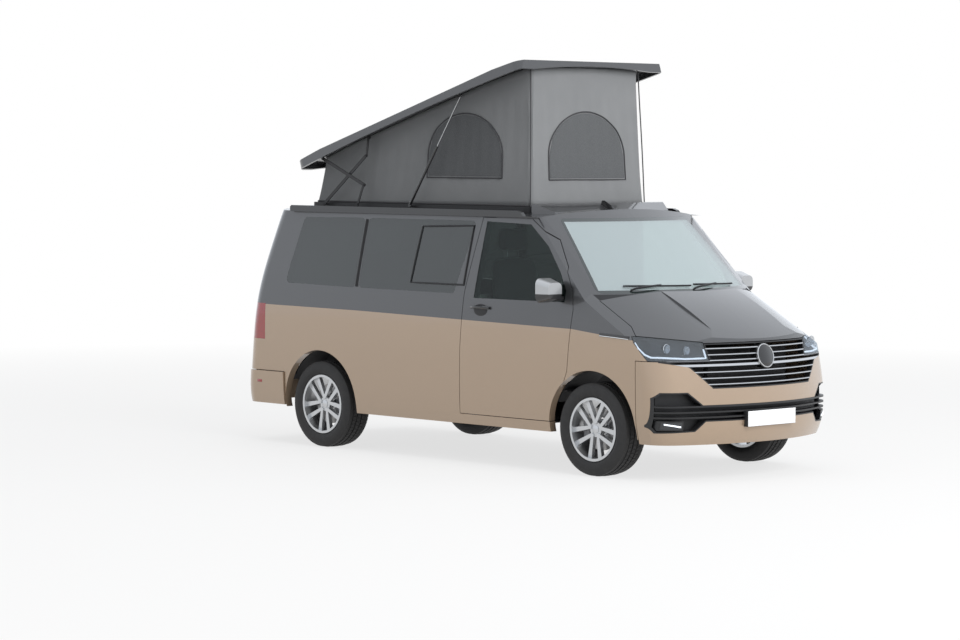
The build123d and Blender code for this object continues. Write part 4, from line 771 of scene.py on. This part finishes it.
class CAMPER_OT_lamps(bpy.types.Operator):
    """Dress the headlamps, tail lamps and fog lamps"""

    bl_idname = "camper.lamps"
    bl_label = "Lamps"

    def execute(self, context):
        def outward(face):
            middle = face.calc_center_median()
            aim = Vector((math.copysign(0.45, middle.x), -1.0 if middle.y < 0 else 1.0, 0.1)).normalized()
            return face.normal.dot(aim) > 0.35

        def is_head(face):
            middle = face.calc_center_median()
            return middle.y < 0 and middle.z > 0.7

        def is_tail(face):
            return face.calc_center_median().y > 0

        # Name, finish, which faces, and the thickness that a lens or shell gets
        units = (
            ("headlamp_lens", "lens", lambda f: is_head(f) and outward(f), 0.003),
            ("headlamp_shell", "lamp_inside", lambda f: is_head(f) and not outward(f), 0.002),
            ("tail_lamp", "red_lens", is_tail, None),
            ("fog_lamp", "lamp_inside", lambda f: not is_head(f) and not is_tail(f), None),
        )
        for side_name, side in SIDES:
            for name, finish_name, wanted, thickness in units:
                bm = copied_faces("lamps", lambda f: wanted(f) and f.calc_center_median().x * side > 0)
                if thickness:
                    bmesh.ops.solidify(bm, geom=bm.faces, thickness=thickness)
                piece = finished(f"{name}_{side_name}", bm, finish_name, "van")
                if piece.name == "headlamp_lens_right":
                    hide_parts("lamps")
        self.inside()
        return {"FINISHED"}

    # The bright strip: (x, z) along the lamp's lower edge, then (y, z) up its outer end
    STRIP_FRONT = ((0.552, 0.952), (0.545, 0.888), (0.70, 0.886), (0.86, 0.896))
    STRIP_SIDE = ((-2.115, 0.897), (-2.07, 0.915), (-2.015, 0.957), (-1.975, 0.995))
    # The fog lamp's slim strip: (x, z)
    FOG_STRIP = ((0.775, 0.403), (0.872, 0.423))
    # Round units: x, z and radius
    UNITS = ((0.675, 0.945, 0.033), (0.805, 0.958, 0.036))

    def inside(self):
        tree = surface_of("lamps")
        for side_name, side in SIDES:
            line = front_points(tree, [(side * x, z) for x, z in dense(self.STRIP_FRONT, 0.03)])
            line += side_points(tree, self.STRIP_SIDE, side)
            line = [point + Vector((-side * 0.007, 0.012, 0)) for point in line]
            pipe(f"headlamp_strip_{side_name}", line, 0.0068, "light_strip", "van",
                 smooth_line=False)
            line = front_points(tree, [(side * x, z) for x, z in dense(self.FOG_STRIP, 0.02)], 0.002)
            pipe(f"fog_strip_{side_name}", line, 0.0055, "light_strip", "van")
            for index, (x, z, radius) in enumerate(self.UNITS):
                place = front_points(tree, [(side * x, z)])[0]
                bowl = ((0.014, 0.0), (0.010, radius * 0.6), (0.0, radius * 0.92), (0.003, radius),
                        (0.034, radius * 0.6), (0.034, 0.0))
                centre = place + Vector((-side * 0.006, 0.018, 0))
                turned(f"headlamp_unit_{side_name}_{index}", bowl, centre, "Y", 32, "reflector", "van")


class CAMPER_OT_trim(bpy.types.Operator):
    """Add wipers, handles, window surrounds, plates and the other outside trim"""

    bl_idname = "camper.trim"
    bl_label = "Outside trim"

    def execute(self, context):
        self.body = surface_of("body_shell", "door_right", "door_left", "sliding_door", "fixed_glass",
                               "door_glass_right", "door_glass_left")
        self.nose = surface_of("bumpers", "grille", "bonnet", "body_shell", "lamps")
        self.back = surface_of("bumpers", "tailgate", "body_shell", "tailgate_glass")
        self.handles()
        self.plates()
        self.wipers()
        self.mirrors()
        self.strips()
        self.badge()
        self.air_guide()
        self.steps()
        self.fin()
        self.side_windows()
        return {"FINISHED"}

    def badge(self):
        """The bare round disc in the grille, in a bright ring."""
        place, normal = hit(self.nose, (0.0, -3.0, BADGE_Z), (0, 1, 0))
        lean = Vector((0, -1, 0)).rotation_difference(normal).to_matrix()
        disc = ((0.004, 0.0), (0.004, 0.086), (-0.008, 0.086), (-0.013, 0.078), (-0.0125, 0.0))
        ring = ((0.002, 0.080), (-0.011, 0.080), (-0.0155, 0.084), (-0.011, 0.089), (0.002, 0.089))
        for name, profile, finish_name, slot in (("badge_disc", disc, "gloss_black", "black_plastic"),
                                                 ("badge_ring", ring, "alloy", "bright_steel")):
            bm = bmesh.new()
            add_turned(bm, profile, (0, 0, 0), "Y", 56)
            bmesh.ops.rotate(bm, verts=bm.verts, cent=(0, 0, 0), matrix=lean)
            bmesh.ops.translate(bm, verts=bm.verts, vec=place)
            finished(name, bm, finish_name, "van")

    def air_guide(self):
        """The black guide behind the intake, which follows the nose."""
        run = [(-0.88 + 0.08 * index, 0.668) for index in range(23)]
        columns = [[(place.x, place.y + 0.075, z) for z in (0.36, 0.66)]
                   for place in front_points(self.nose, run)]
        finished("air_guide", skin(columns, 0.003), "black", "van")

    def steps(self):
        """The step wells inside the front doors, between the sill and the cabin floor."""
        for side_name, side in SIDES:
            bm = bmesh.new()
            for inner, outer, low, high in ((0.700, 0.862, 0.362, 0.374), (0.700, 0.712, 0.374, 0.560)):
                across = sorted((side * inner, side * outer))
                add_box(bm, (across[0], -1.11, low), (across[1], -0.30, high))
            finished(f"step_well_{side_name}", bm, "black", "van")

    def fin(self):
        """The aerial's fin on the roof's header."""
        roof = surface_of("body_shell")
        foot, normal = hit(roof, (0.0, -0.8, 3.0), (0, 0, -1))
        bm = bmesh.new()
        rows = []
        for share, half, front, back in ((0.0, 0.021, -0.085, 0.075), (0.35, 0.014, -0.05, 0.072),
                                         (0.75, 0.006, 0.0, 0.066), (1.0, 0.0025, 0.03, 0.058)):
            height = foot.z - 0.006 + share * 0.062
            ring = []
            for k in range(16):
                turn = math.tau * k / 16
                middle, reach = (front + back) / 2, (back - front) / 2
                along = foot.y + middle + reach * math.cos(turn)
                ring.append(bm.verts.new((half * math.sin(turn), along, height)))
            rows.append([bm.edges.new(pair) for pair in zip(ring, ring[1:] + ring[:1])])
            if share in (0.0, 1.0):
                bm.faces.new(ring)
        for lower, upper in zip(rows, rows[1:]):
            bmesh.ops.bridge_loops(bm, edges=lower + upper)
        finished("aerial_fin", bm, "gloss_black", "van", smooth=60.0)

    def side_windows(self):
        """The black divider and the sliding pane's frame on the long rear side windows."""
        for side_name, side in SIDES:
            divider = [(0.976, 1.825), (0.998, 1.57), (1.020, 1.296)]
            line = side_points(self.body, divider, side, 0.001)
            pipe(f"window_divider_{side_name}", line, 0.004, "seal", "van", flat=0.012)
            frame_line = [(-0.19, 1.352), (-0.235, 1.80), (0.33, 1.784), (0.40, 1.352), (-0.19, 1.352)]
            line = side_points(self.body, dense(frame_line, 0.1), side, 0.003)
            pipe(f"sliding_pane_{side_name}", line, 0.007, "seal", "van", smooth_line=False)

    # The door handle's grip: along the door, up, and off its skin
    GRIP = ((-0.098, 0.006, 0.008), (-0.06, 0.009, 0.027), (0.0, 0.01, 0.031), (0.06, 0.009, 0.027),
            (0.098, 0.006, 0.008))

    def handles(self):
        for side_name, side, y, z, body in (
            ("right", RIGHT, -0.39, 1.182, "door_right"), ("left", LEFT, -0.39, 1.182, "door_left"),
            ("sliding", LEFT, 0.03, 1.182, "van"),
        ):
            place, normal = hit(self.body, (side * 1.4, y, z - 0.02), (-side, 0, 0))
            bm = bmesh.new()
            bmesh.ops.create_uvsphere(bm, u_segments=32, v_segments=16, radius=1.0)
            for vert in bm.verts:
                vert.co = Vector((place.x + side * 0.0012 + vert.co.x * 0.004, y + vert.co.y * 0.072,
                                  z - 0.012 + vert.co.z * 0.046))
            finished(f"handle_cup_{side_name}", bm, "black", body)
            line = [side_points(self.body, [(y + along, z + rise)], side, lift)[0]
                    for along, rise, lift in self.GRIP]
            pipe(f"handle_grip_{side_name}", line, 0.0115, "gloss_black", body)

    def plates(self):
        place = front_points(self.nose, [(0.0, 0.425)])[0]
        box("plate_holder_front", (-0.262, place.y - 0.016, 0.388), (0.262, place.y + 0.03, 0.503), 0.004,
            "black", "van")
        box("plate_front", (-0.26, place.y - 0.019, 0.39), (0.26, place.y - 0.0155, 0.501), 0.0012,
            "plate", "van")
        place = front_points(self.back, [(0.0, 0.98)], start_y=3.0)[0]
        box("plate_rear", (-0.26, place.y + 0.004, 0.915), (0.26, place.y + 0.008, 1.026), 0.0012, "plate",
            "tailgate")

    # Wipers: x of the arm's foot, then (x, z) of the blade's two ends
    WIPERS = (("right", -0.56, (-0.60, 1.372), (0.0, 1.364)), ("left", 0.02, (0.04, 1.372), (0.56, 1.362)))

    def wipers(self):
        screen = surface_of("fixed_glass", "scuttle")
        for name, foot_x, near_end, far_end in self.WIPERS:
            run = dense([near_end, far_end], 0.05)
            blade = [place + normal * 0.014 for place, normal in
                     (hit(screen, (x, -3.0, z), (0, 1, 0)) for x, z in run)]
            pipe(f"wiper_blade_{name}", blade, 0.0065, "seal", "van")
            foot, normal = hit(screen, (foot_x, -3.0, 1.345), (0, 1, 0))
            middle = blade[len(blade) // 2] + Vector((0, -0.008, 0.006))
            bow = foot.lerp(middle, 0.45) + Vector((0, -0.022, 0.014))
            pipe(f"wiper_arm_{name}", [foot, foot + normal * 0.02, bow, middle], 0.0075, "black", "van")

    def mirrors(self):
        for side_name, side in SIDES:
            low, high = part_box(f"mirror_{side_name}")
            near, far = sorted((side * 0.985, side * 1.125))
            box(f"mirror_glass_{side_name}", (near, high.y - 0.001, 1.29), (far, high.y + 0.003, 1.41), 0.001,
                "mirror_face", f"door_{side_name}")

    def strips(self):
        """Strips on the front wings, the rear bumper's reflectors and the sliding door's rail."""
        for side_name, side in SIDES:
            outline = dense([(-1.915, 1.028), (-1.77, 1.036), (-1.63, 1.042)], 0.03)
            line = side_points(self.body, outline, side, 0.001)
            pipe(f"wing_trim_{side_name}", line, 0.004, "gloss_black", "van", flat=0.010)
            line = side_points(self.body, [(y, z - 0.008) for y, z in outline], side, 0.004)
            pipe(f"wing_strip_{side_name}", line, 0.0028, "chrome", "van")
        bumpers = surface_of("bumpers")
        for side_name, side in SIDES:
            place, normal = hit(bumpers, (side * 1.4, 2.19, 0.493), (-side, 0, 0))
            half = Vector((0.003, 0.028, 0.011))
            box(f"rear_reflector_{side_name}", place - half, place + half, 0.002, "red_lens", "van")
        outline = dense([(1.06, 1.165), (1.85, 1.165)], 0.05)
        line = side_points(self.body, outline, LEFT, 0.004)
        pipe("sliding_rail", line, 0.009, "black", "van")


class CAMPER_OT_wheels(bpy.types.Operator):
    """Cut the tyres' tread and add nuts, caps, discs and calipers"""

    bl_idname = "camper.wheels"
    bl_label = "Wheels"

    # The tyre's outline without its tread: along the axle, and radius
    TYRE = (
        (-0.0948, 0.237), (-0.0948, 0.2224), (0.0948, 0.2224), (0.0948, 0.237), (0.106, 0.246),
        (0.1155, 0.266), (0.1175, 0.280), (0.1155, 0.300), (0.1105, 0.318), (0.1035, 0.329),
        (0.0965, 0.338), (0.0815, 0.3375), (0.0, 0.3385), (-0.0815, 0.3375), (-0.0965, 0.338),
        (-0.1035, 0.329), (-0.1105, 0.318), (-0.1155, 0.300), (-0.1175, 0.280), (-0.1155, 0.266),
        (-0.106, 0.246),
    )
    # Rib middles across the tread and their widths, and how many blocks each rib has
    RIBS = ((-0.084, 0.030), (-0.044, 0.030), (0.0, 0.034), (0.044, 0.030), (0.084, 0.030))
    BLOCKS = 66
    # The hub cap's outline: out from the wheel's face, and radius
    HUB_CAP = ((-0.006, 0.0), (-0.006, 0.031), (0.004, 0.030), (0.007, 0.024), (0.008, 0.0))

    def execute(self, context):
        for place, y in (("front", FRONT_AXLE_Y), ("rear", REAR_AXLE_Y)):
            for side_name, side in SIDES:
                name = f"{place}_{side_name}"
                body = f"wheel_{name}"
                centre = Vector((side * WHEEL_X, y, WHEEL_Z))
                self.tyre(name, centre, body)
                self.hub(name, centre, side, body)
                holder = f"knuckle_{side_name}" if place == "front" else "van"
                self.brake(name, centre, side, body, holder)
        return {"FINISHED"}

    def tyre(self, name, centre, body):
        bm = bmesh.new()
        add_turned(bm, self.TYRE, centre, "X", 96)
        pitch = math.tau / self.BLOCKS
        for row, (middle, width) in enumerate(self.RIBS):
            top = 0.345 - 2.2 * middle * middle * 0.35
            outer = abs(middle) > 0.08
            high_x = middle + width / 2 + (0.006 if outer and middle > 0 else 0)
            for index in range(self.BLOCKS):
                angle = pitch * (index + 0.5 * (row % 2))
                made = add_box(bm, (middle - width / 2, -pitch * 0.150, 0.334), (high_x, pitch * 0.150, top))
                lean = 0.004 if row % 2 else -0.004
                for vert in made:
                    vert.co.y += lean * (1 if vert.co.x > middle else -1)
                    if outer and abs(vert.co.x) > abs(middle):
                        vert.co.z -= 0.004
                bmesh.ops.rotate(bm, verts=made, cent=(0, 0, 0), matrix=Matrix.Rotation(angle, 3, "X"))
                bmesh.ops.translate(bm, verts=made, vec=centre)
        tyre = finished(f"tyre_tread_{name}", bm, "rubber", body)
        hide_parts(f"tyre_{name}")

    def hub(self, name, centre, side, body):
        cap = [(side * (0.068 + along), radius) for along, radius in self.HUB_CAP]
        turned(f"hub_cap_{name}", cap, centre, "X", 40, "alloy", body)
        bm = bmesh.new()
        for index in range(5):
            angle = math.radians(-54 + 72 * index)
            spot = centre + Vector((side * 0.052, math.cos(angle) * 0.048, math.sin(angle) * 0.048))
            made = bmesh.ops.create_cone(bm, cap_ends=True, segments=6, radius1=0.0095, radius2=0.0085,
                                         depth=0.028)
            bmesh.ops.rotate(bm, verts=made["verts"], cent=(0, 0, 0),
                             matrix=Matrix.Rotation(math.pi / 2, 3, "Y"))
            bmesh.ops.translate(bm, verts=made["verts"], vec=spot)
        finished(f"wheel_nuts_{name}", bm, "bright_steel", body, smooth=20.0)

    def brake(self, name, centre, side, body, holder):
        disc = [(side * along, radius) for along, radius in
                ((-0.012, 0.085), (-0.012, 0.158), (0.012, 0.158), (0.012, 0.085))]
        turned(f"brake_disc_{name}", disc, centre, "X", 64, "disc", body)
        ahead = 0.10 if "front" in name else -0.165
        low = centre + Vector((-0.034 if side > 0 else -0.03, ahead, -0.07))
        box(f"brake_caliper_{name}", low, low + Vector((0.064, 0.065, 0.14)), 0.012, "cast", holder,
            3)


class CAMPER_OT_cabin(bpy.types.Operator):
    """Upholster the seats and fit out the cabin"""

    bl_idname = "camper.cabin"
    bl_label = "Cabin"

    def execute(self, context):
        fill = context.scene.camper_seats.fill
        for name, x in (("driver", -0.39), ("passenger", 0.39)):
            base = self.cushion(f"seat_base_{name}", (x - 0.24, -0.77, 0.84), (x + 0.24, -0.29, 0.975), fill)
            if name == "driver":
                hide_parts("seats")
            self.cushion(f"seat_back_{name}", (x - 0.235, -0.34, 0.96), (x + 0.235, -0.215, 1.56), fill,
                         lean=math.radians(10), pivot=(-0.28, 0.94))
            self.cushion(f"head_rest_{name}", (x - 0.14, -0.215, 1.60), (x + 0.14, -0.12, 1.77), fill)
            for k, dx in enumerate((-0.06, 0.06)):
                pipe(f"head_rest_post_{name}_{k}", [(x + dx, -0.17, 1.53), (x + dx, -0.167, 1.63)], 0.006,
                     "bright_steel", "van", smooth_line=False)
            box(f"seat_box_{name}", (x - 0.2, -0.7, 0.56), (x + 0.2, -0.28, 0.845), 0.012, "cabin", "van")
        self.cushion("bench_base", (-0.465, 1.0, 0.80), (0.595, 1.5, 0.945), fill)
        self.cushion("bench_back", (-0.465, 1.47, 0.92), (0.595, 1.61, 1.55), fill, lean=math.radians(7),
                     pivot=(1.5, 0.92))
        box("bench_box", (-0.46, 1.01, 0.56), (0.59, 1.5, 0.805), 0.008, "cabin", "van")
        return {"FINISHED"}

    def cushion(self, name, low, high, fill, lean=0.0, pivot=(0, 0)):
        """A crowned cushion with its sides pulled in between the corners."""
        low, high = Vector(low), Vector(high)
        middle, half = (low + high) / 2, (high - low) / 2
        bm = bmesh.new()
        bmesh.ops.create_cube(bm, size=2.0)
        bmesh.ops.subdivide_edges(bm, edges=bm.edges, cuts=13, use_grid_fill=True)
        for vert in bm.verts:
            x, y, z = vert.co
            soft = Vector((x * math.sqrt(1 - y * y * 0.32 - z * z * 0.32 + y * y * z * z * 0.18),
                           y * math.sqrt(1 - x * x * 0.16 - z * z * 0.32 + x * x * z * z * 0.12),
                           z * math.sqrt(1 - x * x * 0.16 - y * y * 0.22 + x * x * y * y * 0.1)))
            vert.co = middle + soft * half
        if lean:
            bmesh.ops.rotate(bm, verts=bm.verts, cent=(0, pivot[0], pivot[1]),
                             matrix=Matrix.Rotation(-lean, 3, "X"))
        made = finished(name, bm, "seat", "van", smooth=80.0)
        return made


class CAMPER_PT_panel(bpy.types.Panel):
    bl_idname = "CAMPER_PT_panel"
    bl_label = "Camper"
    bl_space_type = "VIEW_3D"
    bl_region_type = "UI"
    bl_category = "Camper"

    def draw(self, context):
        for group in (context.scene.camper_colors, context.scene.camper_canopy, context.scene.camper_seats,
                      context.scene.camper_stage):
            for name in group.__annotations__:
                self.layout.prop(group, name)
        for step in STEPS:
            self.layout.operator(step.bl_idname)


STEPS = (CAMPER_OT_finishes, CAMPER_OT_canopy, CAMPER_OT_lamps, CAMPER_OT_trim, CAMPER_OT_wheels,
         CAMPER_OT_cabin, CAMPER_OT_stage)
GROUPS = (
    ("camper_colors", VanColors), ("camper_canopy", CanopySizes), ("camper_seats", SeatSizes),
    ("camper_stage", StageSizes),
)


def register():
    for name, group in GROUPS:
        bpy.utils.register_class(group)
        setattr(bpy.types.Scene, name, PointerProperty(type=group))
    for step in STEPS:
        bpy.utils.register_class(step)
    bpy.utils.register_class(CAMPER_PT_panel)


def unregister():
    bpy.utils.unregister_class(CAMPER_PT_panel)
    for step in reversed(STEPS):
        bpy.utils.unregister_class(step)
    for name, group in reversed(GROUPS):
        delattr(bpy.types.Scene, name)
        bpy.utils.unregister_class(group)


def main():
    register()
    for step in STEPS:
        area, action = step.bl_idname.split(".")
        getattr(getattr(bpy.ops, area), action)()


if __name__ == "__main__":
    main()
